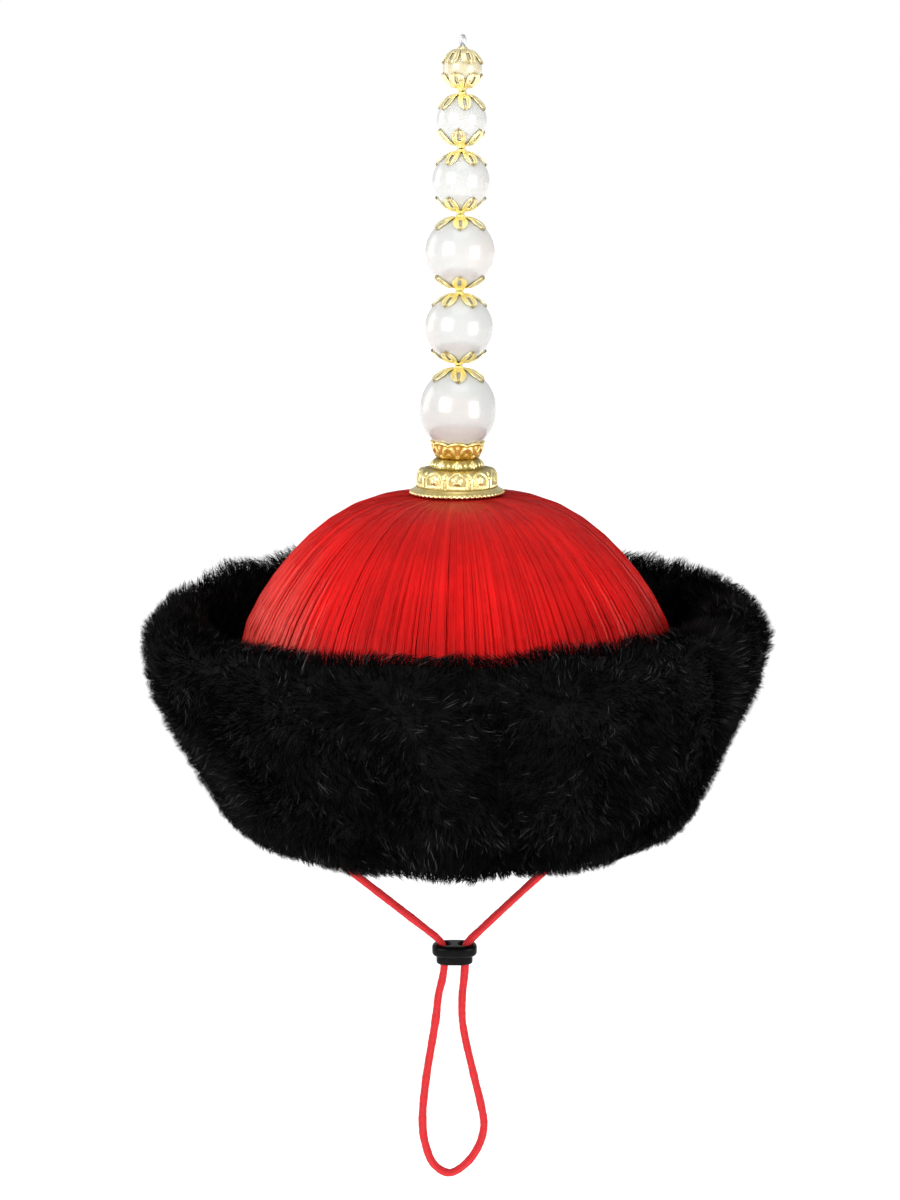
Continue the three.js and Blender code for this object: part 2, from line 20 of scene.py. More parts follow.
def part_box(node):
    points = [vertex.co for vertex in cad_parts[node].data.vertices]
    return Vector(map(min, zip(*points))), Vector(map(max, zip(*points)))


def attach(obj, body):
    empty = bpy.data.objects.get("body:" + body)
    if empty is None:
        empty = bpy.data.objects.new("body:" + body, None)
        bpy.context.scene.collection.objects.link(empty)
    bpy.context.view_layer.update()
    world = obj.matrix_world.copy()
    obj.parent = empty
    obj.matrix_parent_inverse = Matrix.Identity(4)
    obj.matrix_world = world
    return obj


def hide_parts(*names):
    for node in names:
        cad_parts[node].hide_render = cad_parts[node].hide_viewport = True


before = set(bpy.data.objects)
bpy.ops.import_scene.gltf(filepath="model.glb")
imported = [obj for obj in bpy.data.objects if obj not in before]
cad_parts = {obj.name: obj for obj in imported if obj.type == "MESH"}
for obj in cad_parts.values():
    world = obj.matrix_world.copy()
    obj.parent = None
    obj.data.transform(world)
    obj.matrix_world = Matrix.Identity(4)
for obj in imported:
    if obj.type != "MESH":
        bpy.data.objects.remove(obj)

LOG = logging.getLogger("hat")
MM = 0.001
FULL_TURN = 2 * math.pi
WELD = 1e-4
NOISE_ROUGHNESS = 0.55

Colour = tuple[float, float, float]
Place = tuple[float, float, float]
Points = np.ndarray
WHITE: Colour = (1.0, 1.0, 1.0)


class Slot(Enum):
    """Material slots."""

    CLOTH = "black_cloth"
    THREAD = "red_thread"
    FUR = "black_fur"
    GILT = "gilt"
    ORANGE_GILT = "orange_gilt"
    PEARL = "pearl"
    STEEL = "steel"
    CORD = "red_cord"
    PLASTIC = "black_plastic"


class Pole(Enum):
    """The end of a bead that a petalled cap covers."""

    TOP = "top"
    BOTTOM = "bottom"


# Places and lines


def node_box(node: str) -> tuple[Vector, Vector]:
    """Reads where a node of the frame lies.

    Args:
        node: The node's name.

    Returns:
        Its lowest and highest corner, in millimetres.
    """
    low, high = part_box(node)
    return low / MM, high / MM


def smooth_line(chosen: Sequence[Sequence[float]], count: int) -> Points:
    """Draws a centripetal Catmull-Rom curve through chosen points.

    Args:
        chosen: The points, of two or three numbers each.
        count: How many evenly spaced points come back.

    Returns:
        The points on the curve, one in each row.
    """
    line = np.asarray(chosen, float)
    line = np.vstack([2 * line[0] - line[1], line, 2 * line[-1] - line[-2]])
    steps = np.diff(line, axis=0)
    spans = np.sqrt(np.linalg.norm(steps, axis=1))[:, None]
    t = np.linspace(0, 1, 24, endpoint=False)[:, None]
    dense = []
    for i in range(1, len(line) - 2):
        before, here, after = spans[i - 1], spans[i], spans[i + 1]
        leave = steps[i - 1] / before - (steps[i - 1] + steps[i]) / (before + here) + steps[i] / here
        arrive = steps[i] / here - (steps[i] + steps[i + 1]) / (here + after) + steps[i + 1] / after
        bend = leave * here * (t**3 - 2 * t**2 + t) + arrive * here * (t**3 - t**2)
        dense.append(line[i] + steps[i] * (3 * t**2 - 2 * t**3) + bend)
    dense = np.vstack([*dense, line[-2]])
    along = np.concatenate([[0], np.cumsum(np.linalg.norm(np.diff(dense, axis=0), axis=1))])
    places = np.linspace(0, along[-1], count)
    return np.column_stack([np.interp(places, along, column) for column in dense.T])


def unit(vectors: Points) -> Points:
    """Scales each row to length one."""
    return vectors / np.maximum(np.linalg.norm(vectors, axis=-1, keepdims=True), 1e-9)


def eased(value: Points | float, low: float, high: float) -> Points | float:
    """Rises smoothly from 0 at low to 1 at high."""
    t = np.clip((value - low) / (high - low), 0, 1)
    return t * t * (3 - 2 * t)


def bump(distance: Points, reach: float) -> Points:
    """A round bump that is 1 at distance 0 and ends at the reach."""
    return np.clip(1 - (distance / reach) ** 2, 0, 1)


def waves(places: Points, pitch: float, seed: int, count: int = 8) -> Points:
    """Smooth random values over space, mostly between -1 and 1.

    Args:
        places: The points, one in each row.
        pitch: The usual distance between two swells.
        seed: Which pattern.
        count: How many plane waves are added up.

    Returns:
        One value for each point.
    """
    rng = np.random.default_rng(seed)
    courses = unit(rng.normal(size=(count, 3))) / (pitch * rng.uniform(0.7, 1.6, (count, 1)))
    phases = rng.uniform(0, FULL_TURN, count)
    return np.sin(places @ courses.T * FULL_TURN + phases).sum(axis=1) / math.sqrt(count)


# Meshes


def link_mesh(name: str, mesh: bpy.types.Mesh) -> bpy.types.Object:
    """Puts a finished mesh into the scene, smooth shaded.

    Args:
        name: The piece's name.
        mesh: The mesh, in metres.

    Returns:
        The new object, at the origin.
    """
    mesh.shade_smooth()
    piece = bpy.data.objects.new(name, mesh)
    bpy.context.scene.collection.objects.link(piece)
    return piece


def finished(name: str, bm: bmesh.types.BMesh) -> bpy.types.Object:
    """Turns a bmesh in millimetres into an object in metres.

    Args:
        name: The piece's name.
        bm: The shape, which is freed.

    Returns:
        The new object, at the origin.
    """
    bmesh.ops.scale(bm, vec=(MM, MM, MM), verts=bm.verts)
    mesh = bpy.data.meshes.new(name)
    bm.to_mesh(mesh)
    bm.free()
    return link_mesh(name, mesh)


def joined_from_arrays(
    name: str, points: Points, faces: Points, marks: dict[str, Points]
) -> bpy.types.Object:
    """Makes one mesh of many small things.

    Args:
        name: The piece's name.
        points: Places in millimetres, one in each row.
        faces: Point numbers, one face in each row.
        marks: Point attributes of one number each.

    Returns:
        The new object, at the origin.
    """
    mesh = bpy.data.meshes.new(name)
    mesh.vertices.add(len(points))
    mesh.vertices.foreach_set("co", (points * MM).astype(np.float32).ravel())
    mesh.loops.add(faces.size)
    mesh.loops.foreach_set("vertex_index", faces.astype(np.int32).ravel())
    mesh.polygons.add(len(faces))
    mesh.polygons.foreach_set("loop_start", np.arange(0, faces.size, faces.shape[1], dtype=np.int32))
    mesh.update(calc_edges=True)
    for mark, values in marks.items():
        mesh.attributes.new(mark, "FLOAT", "POINT").data.foreach_set("value", values.astype(np.float32))
    return link_mesh(name, mesh)


def spun(rows: Iterable[Sequence[float]], steps: int, closed: bool = True) -> bmesh.types.BMesh:
    """Spins a profile round the Z axis, starting at the front.

    Args:
        rows: The profile's radius and height at each point.
        steps: How many columns the turn has.
        closed: Whether the profile's last point joins its first.

    Returns:
        The spun shell with its faces pointing outwards.
    """
    bm = bmesh.new()
    verts = [bm.verts.new((0, -radius, height)) for radius, height in rows]
    edges = [bm.edges.new(pair) for pair in zip(verts, verts[1:])]
    if closed:
        edges.append(bm.edges.new((verts[-1], verts[0])))
    bmesh.ops.spin(
        bm, geom=verts + edges, cent=(0, 0, 0), axis=(0, 0, 1), angle=FULL_TURN, steps=steps, use_merge=True
    )
    bmesh.ops.remove_doubles(bm, verts=bm.verts, dist=WELD)
    bmesh.ops.recalc_face_normals(bm, faces=bm.faces)
    return bm


def smooth_once(bm: bmesh.types.BMesh, factor: float) -> None:
    """Smooths a surface once, along all three axes.

    Args:
        bm: The surface.
        factor: How far each vertex moves towards its neighbours' middle.
    """
    bmesh.ops.smooth_vert(
        bm, verts=bm.verts, factor=factor, use_axis_x=True, use_axis_y=True, use_axis_z=True
    )


def emboss(bm: bmesh.types.BMesh, relief: Callable[[Points], Points], depth: float) -> None:
    """Raises a surface by a relief, and keeps the relief as an attribute for the finish.

    Args:
        bm: The surface.
        relief: Gives a height between 0 and 1 for each place.
        depth: How far a height of 1 stands out.
    """
    kept = bm.verts.layers.float.new("relief")
    bm.normal_update()
    verts = list(bm.verts)
    heights = relief(np.array([vert.co for vert in verts]))
    for vert, height in zip(verts, heights):
        vert.co += vert.normal * (depth * height)
        vert[kept] = height


def blades(
    name: str,
    roots: Points,
    middles: Points,
    tips: Points,
    width: Points,
    tone: Points,
    rng: np.random.Generator,
) -> bpy.types.Object:
    """Makes fine hairs, each a bent blade of three triangles.

    Args:
        name: The piece's name.
        roots: Where the hairs start, one in each row.
        middles: Their middles.
        tips: Their tips.
        width: Each hair's width at its root.
        tone: Each hair's own tone, from 0 to 1.
        rng: Turns the blades to face all ways.

    Returns:
        The joined mesh, with the point attributes tone and along.
    """
    side = unit(np.cross(tips - roots, rng.normal(size=roots.shape))) * (width / 2)[:, None]
    points = np.stack([roots - side, roots + side, middles - side * 0.8, middles + side * 0.8, tips], axis=1)
    shape = np.array([[0, 1, 3], [0, 3, 2], [2, 3, 4]])
    faces = np.arange(len(roots))[:, None, None] * 5 + shape[None]
    along = np.tile([0.0, 0.0, 0.5, 0.5, 1.0], len(roots))
    marks = {"tone": np.repeat(tone, 5), "along": along}
    return joined_from_arrays(name, points.reshape(-1, 3), faces.reshape(-1, 3), marks)


def carried(
    piece: bpy.types.Object, slot: Slot, material: bpy.types.Material, *nodes: str
) -> bpy.types.Object:
    """Dresses a piece, lets it ride on the hat and hides the solids that it stands for.

    Args:
        piece: The finished piece.
        slot: The slot of its finish; not used.
        material: Its finish.
        nodes: The frame's nodes that it replaces.

    Returns:
        The piece.
    """
    piece.data.materials.append(material)
    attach(piece, "root")
    if nodes:
        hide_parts(*nodes)
    LOG.info("%s: %d faces", piece.name, len(piece.data.polygons))
    return piece


# Finishes


def shaded(colour: Colour, share: float) -> Colour:
    """Makes a colour lighter or darker by a share."""
    return tuple(share * part for part in colour)


class Pen:
    """Writes shader nodes into one tree."""

    def __init__(self, tree: bpy.types.NodeTree) -> None:
        """Keeps the tree and clears it."""
        self.tree = tree
        tree.nodes.clear()

    def node(self, kind: str, inputs: dict | None = None, **settings: object) -> bpy.types.Node:
        """Adds a node.

        Args:
            kind: Blender's name for the node.
            inputs: Values or other nodes' outputs for its inputs, by name or number.
            settings: The node's own properties.

        Returns:
            The node.
        """
        made = self.tree.nodes.new(kind)
        for name, value in settings.items():
            setattr(made, name, value)
        for name, value in (inputs or {}).items():
            self.feed(made.inputs[name], value)
        return made

    def feed(self, socket: bpy.types.NodeSocket, value: object) -> None:
        """Links an output to a socket, or sets the socket's own value.

        Args:
            socket: The input.
            value: A node's output, a colour or a number.
        """
        if isinstance(value, bpy.types.NodeSocket):
            self.tree.links.new(value, socket)
        elif isinstance(value, tuple) and socket.type == "RGBA":
            socket.default_value = (*value[:3], 1.0)
        else:
            socket.default_value = value

    def maths(self, operation: str, *values: object) -> bpy.types.NodeSocket:
        """Adds a Math node and returns its result."""
        return self.node("ShaderNodeMath", dict(enumerate(values)), operation=operation).outputs[0]

    def mixed(self, share: object, first: object, second: object) -> bpy.types.NodeSocket:
        """Mixes two colours.

        Args:
            share: How much of the second colour there is, from 0 to 1.
            first: The first colour.
            second: The second colour.

        Returns:
            The mixed colour.
        """
        made = self.node("ShaderNodeMix", {0: share}, data_type="RGBA")
        self.feed(made.inputs[6], first)
        self.feed(made.inputs[7], second)
        return made.outputs[2]

    def spread(
        self, value: object, low: float, high: float, start: float = 0, end: float = 1
    ) -> bpy.types.NodeSocket:
        """Maps a value from one range to another, clamped."""
        inputs = {0: value, 1: low, 2: high, 3: start, 4: end}
        return self.node("ShaderNodeMapRange", inputs).outputs[0]

    def noise(self, place: object, scale: object, detail: float) -> bpy.types.NodeSocket:
        """Adds a Noise Texture and returns its value."""
        inputs = {"Vector": place, "Scale": scale, "Detail": detail, "Roughness": NOISE_ROUGHNESS}
        return self.node("ShaderNodeTexNoise", inputs).outputs["Fac"]

    def mark(self, name: str) -> bpy.types.NodeSocket:
        """Reads a point attribute of one number."""
        return self.node("ShaderNodeAttribute", attribute_name=name).outputs["Fac"]

    def place(self) -> bpy.types.NodeSocket:
        """Object coordinates."""
        return self.node("ShaderNodeTexCoord").outputs["Object"]

    def cloth_place(self) -> bpy.types.NodeSocket:
        """The piece's own UV map."""
        return self.node("ShaderNodeTexCoord").outputs["UV"]

    def bumped(self, height: object, depth: float) -> bpy.types.NodeSocket:
        """Adds a Bump node whose height of 1 stands depth metres out, and returns the normal."""
        inputs = {"Height": height, "Distance": depth, "Strength": 1.0}
        return self.node("ShaderNodeBump", inputs).outputs[0]


class Effects:
    """Shader groups that several finishes share. Each is built once, when it is first used."""

    built: dict[str, bpy.types.NodeTree] = {}

    @classmethod
    def group(
        cls, name: str, inputs: Sequence[tuple[str, str, object]], outputs: Sequence[tuple[str, str]]
    ) -> tuple[Pen, bpy.types.Node, bpy.types.Node]:
        """Starts a group.

        Args:
            name: The group's name.
            inputs: Name, socket kind and value of each input.
            outputs: Name and socket kind of each output.

        Returns:
            A pen for the group, its input node and its output node.
        """
        tree = bpy.data.node_groups.new(name, "ShaderNodeTree")
        for label, kind, value in inputs:
            socket = tree.interface.new_socket(name=label, in_out="INPUT", socket_type=kind)
            if value is not None:
                socket.default_value = value
        for label, kind in outputs:
            tree.interface.new_socket(name=label, in_out="OUTPUT", socket_type=kind)
        pen = Pen(tree)
        cls.built[name] = tree
        return pen, pen.node("NodeGroupInput"), pen.node("NodeGroupOutput")

    @classmethod
    def placed(cls, pen: Pen, build: Callable[[], None], name: str, inputs: dict) -> bpy.types.Node:
        """Places a group in a material.

        Args:
            pen: The material's pen.
            build: Builds the group if it isn't there yet.
            name: The group's name.
            inputs: What goes into it.

        Returns:
            The group's node.
        """
        if name not in cls.built:
            build()
        made = pen.node("ShaderNodeGroup", node_tree=cls.built[name])
        for label, value in inputs.items():
            pen.feed(made.inputs[label], value)
        return made

    @classmethod
    def unevenness(cls, pen: Pen, place: object, coarse: float, fine: float) -> bpy.types.Node:
        """Cloudy and grainy masks that any surface has.

        Args:
            pen: The material's pen.
            place: The coordinates that the masks follow.
            coarse: Patches per metre.
            fine: Grains per metre.

        Returns:
            The group's node, with the outputs Clouds and Grain.
        """

        def build() -> None:
            """Builds the group."""
            inputs = [
                ("Place", "NodeSocketVector", None),
                ("Coarse", "NodeSocketFloat", 40.0),
                ("Fine", "NodeSocketFloat", 900.0),
            ]
            outputs = [("Clouds", "NodeSocketFloat"), ("Grain", "NodeSocketFloat")]
            group, start, end = cls.group("unevenness", inputs, outputs)
            given = start.outputs
            clouds = group.noise(given["Place"], given["Coarse"], 4)
            grain = group.noise(given["Place"], given["Fine"], 2)
            group.feed(end.inputs["Clouds"], group.spread(clouds, 0.3, 0.7))
            group.feed(end.inputs["Grain"], group.spread(grain, 0.25, 0.75))

        return cls.placed(pen, build, "unevenness", {"Place": place, "Coarse": coarse, "Fine": fine})

    @classmethod
    def fibre_colour(
        cls, pen: Pen, root: Colour, body: Colour, glint: Colour, rare: float
    ) -> bpy.types.NodeSocket:
        """The colour of a hair or thread, from its root to its tip, with a painted highlight on the tips of a
        few strands among many.

        Args:
            pen: The material's pen.
            root: The colour at the root.
            body: The colour of most of the strand.
            glint: The colour of the painted highlight at a glinting strand's tip.
            rare: The tone above which a strand takes the painted highlight.

        Returns:
            The colour.
        """

        def build() -> None:
            """Builds the group."""
            inputs = [(label, "NodeSocketColor", (0.5, 0.5, 0.5, 1)) for label in ("Root", "Body", "Glint")]
            inputs += [(label, "NodeSocketFloat", 0.5) for label in ("Tone", "Along", "Rare")]
            group, start, end = cls.group("fibre_colour", inputs, [("Colour", "NodeSocketColor")])
            given = start.outputs
            low = group.mixed(group.spread(given["Along"], 0.0, 0.55), given["Root"], given["Body"])
            shade = group.spread(given["Tone"], 0.0, 1.0, 0.72, 1.28)
            toned = group.node("ShaderNodeVectorMath", {0: low}, operation="SCALE")
            group.feed(toned.inputs["Scale"], shade)
            # Painted highlight: strands whose tone is above Rare turn to the glint colour towards their tips.
            light = group.maths("GREATER_THAN", given["Tone"], given["Rare"])
            lit = group.maths("MULTIPLY", light, group.spread(given["Along"], 0.25, 0.8))
            group.feed(end.inputs["Colour"], group.mixed(lit, toned.outputs[0], given["Glint"]))

        inputs = {"Root": root, "Body": body, "Glint": glint, "Rare": rare}
        inputs |= {"Tone": pen.mark("tone"), "Along": pen.mark("along")}
        return cls.placed(pen, build, "fibre_colour", inputs).outputs["Colour"]

    @classmethod
    def weave(cls, pen: Pen, place: object, threads: float) -> bpy.types.Node:
        """A plain weave.

        Args:
            pen: The material's pen.
            place: The coordinates that the weave follows.
            threads: How many threads there are in a unit of the place.

        Returns:
            The group's node, with the outputs Height and Hollow.
        """

        def build() -> None:
            """Builds the group."""
            inputs = [("Place", "NodeSocketVector", None), ("Threads", "NodeSocketFloat", 400.0)]
            outputs = [("Height", "NodeSocketFloat"), ("Hollow", "NodeSocketFloat")]
            group, start, end = cls.group("weave", inputs, outputs)
            scaled = group.node("ShaderNodeVectorMath", {0: start.outputs["Place"]}, operation="SCALE")
            group.feed(scaled.inputs["Scale"], start.outputs["Threads"])
            parts = group.node("ShaderNodeSeparateXYZ", {0: scaled.outputs[0]}).outputs
            across = group.maths("SINE", group.maths("MULTIPLY", parts[0], math.pi))
            down = group.maths("SINE", group.maths("MULTIPLY", parts[1], math.pi))
            knots = group.maths("MULTIPLY", across, down)
            turned = group.maths("MULTIPLY", group.maths("ABSOLUTE", across), group.maths("ABSOLUTE", down))
            group.feed(end.inputs["Height"], group.maths("ADD", group.spread(knots, -1, 1), turned))
            group.feed(end.inputs["Hollow"], group.spread(turned, 0.0, 0.35, 1, 0))

        return cls.placed(pen, build, "weave", {"Place": place, "Threads": threads})


def new_material(name: str) -> tuple[bpy.types.Material, Pen]:
    """Starts a material.

    Args:
        name: The material's name.

    Returns:
        The material and a pen for its tree.
    """
    material = bpy.data.materials.new(name)
    material.use_nodes = True
    return material, Pen(material.node_tree)


def surface(pen: Pen, **values: object) -> None:
    """Ends a material in one Principled shader.

    Args:
        pen: The material's pen.
        values: The shader's inputs, with underscores for the spaces in their names.
    """
    shader = pen.node("ShaderNodeBsdfPrincipled")
    for name, value in values.items():
        pen.feed(shader.inputs[name.replace("_", " ")], value)
    pen.node("ShaderNodeOutputMaterial", {"Surface": shader.outputs[0]})


@dataclass(frozen=True)
class Fibre:
    """Hair, thread or cord fuzz: many fine strands with their own tones."""

    name: str
    root: Colour
    body: Colour
    glint: Colour
    rare: float = 0.9
    roughness: float = 0.45
    shine: float = 0.5
    sheen: float = 0.0
    sheen_colour: Colour = WHITE

    def material(self) -> bpy.types.Material:
        """Builds the material of the strands.

        Returns:
            The new material.
        """
        material, pen = new_material(self.name)
        colour = Effects.fibre_colour(pen, self.root, self.body, self.glint, self.rare)
        mist = Effects.unevenness(pen, pen.place(), 28, 1500)
        clouded = pen.node("ShaderNodeVectorMath", {0: colour}, operation="SCALE")
        pen.feed(clouded.inputs["Scale"], pen.spread(mist.outputs["Clouds"], 0, 1, 0.8, 1.15))
        roughness = pen.spread(pen.mark("tone"), 0, 1, self.roughness + 0.08, self.roughness - 0.08)
        surface(
            pen, Base_Color=clouded.outputs[0], Roughness=roughness, Specular_IOR_Level=self.shine,
            Sheen_Weight=self.sheen, Sheen_Tint=self.sheen_colour,
        )
        return material


@dataclass(frozen=True)
class Gilding:
    """Gilt metal, bright on what stands out, with painted shade in the hollows of its relief."""

    name: str
    bright: Colour
    hollow_shade: Colour
    roughness: float = 0.22
    patches: float = 160.0

    def material(self) -> bpy.types.Material:
        """Builds the material, which reads the attribute relief.

        Returns:
            The new material.
        """
        material, pen = new_material(self.name)
        worn = Effects.unevenness(pen, pen.place(), self.patches, 2600)
        height = pen.maths("ADD", pen.mark("relief"), pen.spread(worn.outputs["Clouds"], 0, 1, -0.12, 0.12))
        raised = pen.spread(height, 0.08, 0.62)
        # Painted shade: where the relief is low the colour turns to the dark hollow colour.
        colour = pen.mixed(raised, self.hollow_shade, self.bright)
        polish = pen.spread(raised, 0, 1, self.roughness + 0.22, self.roughness)
        roughness = pen.maths("ADD", polish, pen.spread(worn.outputs["Grain"], 0, 1, -0.04, 0.06))
        normal = pen.bumped(worn.outputs["Grain"], 0.00002)
        surface(pen, Base_Color=colour, Metallic=1.0, Roughness=roughness, Normal=normal)
        return material


@dataclass(frozen=True)
class PearlCoat:
    """Milky coating with a clear, soft gloss and faint warm and cool patches."""

    name: str = "pearl_coating"
    cool: Colour = (0.565, 0.575, 0.56)
    warm: Colour = (0.66, 0.59, 0.545)
    roughness: float = 0.26
    depth: float = 0.006

    def material(self) -> bpy.types.Material:
        """Builds the material.

        Returns:
            The new material.
        """
        material, pen = new_material(self.name)
        tinted = Effects.unevenness(pen, pen.place(), 34, 1200)
        colour = pen.mixed(pen.spread(tinted.outputs["Clouds"], 0.35, 1, 0, 0.55), self.cool, self.warm)
        roughness = pen.spread(tinted.outputs["Grain"], 0, 1, self.roughness - 0.01, self.roughness + 0.02)
        normal = pen.bumped(tinted.outputs["Clouds"], 0.00025)
        surface(
            pen, Base_Color=colour, Roughness=roughness, Normal=normal, Specular_IOR_Level=0.5,
            Coat_Weight=1.0, Coat_Roughness=0.16, Coat_IOR=1.5, Sheen_Weight=0.1, Sheen_Roughness=0.35,
            Subsurface_Weight=0.6, Subsurface_Radius=(1.0, 0.9, 0.82), Subsurface_Scale=self.depth,
        )
        return material


@dataclass(frozen=True)
class WovenCloth:
    """Plain black cotton."""

    name: str
    colour: Colour = (0.012, 0.012, 0.014)
    threads: float = 1400.0

    def material(self) -> bpy.types.Material:
        """Builds the material, which follows Object coordinates.

        Returns:
            The new material.
        """
        material, pen = new_material(self.name)
        place = pen.place()
        woven = Effects.weave(pen, place, self.threads)
        dusty = Effects.unevenness(pen, place, 30, 2400)
        faded = pen.mixed(dusty.outputs["Clouds"], self.colour, shaded(self.colour, 2.2))
        # Painted shade darkens the weave's hollows.
        colour = pen.mixed(pen.maths("MULTIPLY", woven.outputs["Hollow"], 0.6), faded, (0.003, 0.003, 0.003))
        height = pen.maths("ADD", woven.outputs["Height"], pen.maths("MULTIPLY", dusty.outputs["Grain"], 0.5))
        surface(
            pen, Base_Color=colour, Roughness=pen.spread(dusty.outputs["Grain"], 0, 1, 0.8, 0.95),
            Normal=pen.bumped(height, 0.00012), Sheen_Weight=0.2, Specular_IOR_Level=0.25,
        )
        return material


@dataclass(frozen=True)
class Undercoat:
    """The dense short wool or thread ground under longer strands."""

    name: str
    deep: Colour
    light: Colour
    tufts: float = 260.0

    def material(self) -> bpy.types.Material:
        """Builds the material.

        Returns:
            The new material.
        """
        material, pen = new_material(self.name)
        wool = Effects.unevenness(pen, pen.place(), self.tufts, 2200)
        colour = pen.mixed(wool.outputs["Clouds"], self.deep, self.light)
        height = pen.maths("ADD", wool.outputs["Clouds"], pen.maths("MULTIPLY", wool.outputs["Grain"], 0.4))
        surface(
            pen, Base_Color=colour, Roughness=pen.spread(wool.outputs["Grain"], 0, 1, 0.75, 0.95),
            Normal=pen.bumped(height, 0.0012), Specular_IOR_Level=0.2,
        )
        return material


@dataclass(frozen=True)
class BraidedCord:
    """Soft red cord with a fine braid that follows its UV map."""

    name: str = "braided_cord"
    lit: Colour = (0.66, 0.026, 0.032)
    deep: Colour = (0.34, 0.006, 0.01)
    plaits: float = 6.0

    def material(self) -> bpy.types.Material:
        """Builds the material.

        Returns:
            The new material.
        """
        material, pen = new_material(self.name)
        braid = Effects.weave(pen, pen.cloth_place(), self.plaits)
        fuzz = Effects.unevenness(pen, pen.place(), 240, 3200)
        shade = pen.maths("MULTIPLY", braid.outputs["Hollow"], 0.55)
        blushed = pen.mixed(pen.spread(fuzz.outputs["Clouds"], 0, 1, 0, 0.3), self.lit, self.deep)
        height = pen.maths("ADD", braid.outputs["Height"], fuzz.outputs["Grain"])
        surface(
            pen, Base_Color=pen.mixed(shade, blushed, self.deep), Normal=pen.bumped(height, 0.00012),
            Roughness=pen.spread(fuzz.outputs["Grain"], 0, 1, 0.75, 0.92), Sheen_Weight=0.15,
            Sheen_Tint=(1.0, 0.45, 0.4), Specular_IOR_Level=0.25,
        )
        return material


@dataclass(frozen=True)
class Moulded:
    """Moulded black plastic, half gloss, with a fine mould grain and light handling marks."""

    name: str = "moulded_plastic"
    colour: Colour = (0.002, 0.002, 0.0022)

    def material(self) -> bpy.types.Material:
        """Builds the material.

        Returns:
            The new material.
        """
        material, pen = new_material(self.name)
        marks = Effects.unevenness(pen, pen.place(), 260, 4200)
        colour = pen.mixed(marks.outputs["Clouds"], self.colour, shaded(self.colour, 2))
        roughness = pen.spread(marks.outputs["Clouds"], 0, 1, 0.16, 0.26)
        surface(
            pen, Base_Color=colour, Roughness=roughness, Normal=pen.bumped(marks.outputs["Grain"], 0.00001),
            Specular_IOR_Level=0.07,
        )
        return material


@dataclass(frozen=True)
class BrightWire:
    """Drawn steel with fine scratches along it."""

    name: str = "bright_wire"
    colour: Colour = (0.62, 0.63, 0.65)

    def material(self) -> bpy.types.Material:
        """Builds the material.

        Returns:
            The new material.
        """
        material, pen = new_material(self.name)
        drawn = pen.node("ShaderNodeMapping", {"Vector": pen.place(), "Scale": (1.0, 1.0, 0.12)})
        scratches = Effects.unevenness(pen, drawn.outputs[0], 300, 5200)
        colour = pen.mixed(scratches.outputs["Clouds"], self.colour, shaded(self.colour, 0.6))
        roughness = pen.spread(scratches.outputs["Grain"], 0, 1, 0.14, 0.32)
        surface(
            pen, Base_Color=colour, Metallic=1.0, Roughness=roughness,
            Normal=pen.bumped(scratches.outputs["Grain"], 0.00001),
        )
        return material


# Each glint colour is a painted highlight on the tips of a few strands.
FUR_HAIR = Fibre(
    "fur_hair", root=(0.0002, 0.0002, 0.0002), body=(0.001, 0.001, 0.0012), glint=(0.09, 0.09, 0.095),
    rare=0.95, roughness=0.5, shine=0.05,
)
SILK_THREAD = Fibre(
    "silk_thread", root=(0.5, 0.004, 0.002), body=(0.68, 0.004, 0.004), glint=(0.86, 0.07, 0.055),
    rare=0.88, roughness=0.42, shine=0.12, sheen=0.05, sheen_colour=(1.0, 0.4, 0.36),
)
CORD_FUZZ = Fibre(
    "cord_fuzz_hair", root=(0.5, 0.015, 0.02), body=(0.68, 0.03, 0.035), glint=(0.85, 0.12, 0.12),
    rare=0.85, roughness=0.8, shine=0.15,
)
CAST_GILT = Gilding("cast_gilt", bright=(0.88, 0.75, 0.36), hollow_shade=(0.26, 0.19, 0.04), roughness=0.26)
CUP_GILT = Gilding("reddish_gilt", bright=(1.0, 0.8, 0.3), hollow_shade=(0.55, 0.3, 0.04), roughness=0.26)
PETAL_GILT = Gilding(
    "bright_gilt", bright=(1.0, 0.9, 0.52), hollow_shade=(0.2, 0.13, 0.02), roughness=0.3, patches=220
)
TOP_GILT = Gilding(
    "pale_gilt", bright=(0.98, 0.87, 0.5), hollow_shade=(0.3, 0.22, 0.06), roughness=0.28, patches=220
)
FUR_GROUND = Undercoat("fur_ground", deep=(0.0004, 0.0004, 0.0005), light=(0.002, 0.002, 0.0022))
# The thread ground is coloured darker than the threads: painted shade between the locks.
THREAD_GROUND_PAINTED_SHADE = Undercoat("thread_ground", deep=(0.36, 0.003, 0.003), light=(0.52, 0.005, 0.005), tufts=500)
GILDED_PEARL = PearlCoat("gilded_pearl_coating", cool=(0.6, 0.54, 0.36), warm=(0.64, 0.55, 0.33))
CAP_CLOTH = WovenCloth("cap_cloth")
STITCH_THREAD = WovenCloth("stitch_thread", colour=(0.03, 0.03, 0.033), threads=3000)


# Chin cord


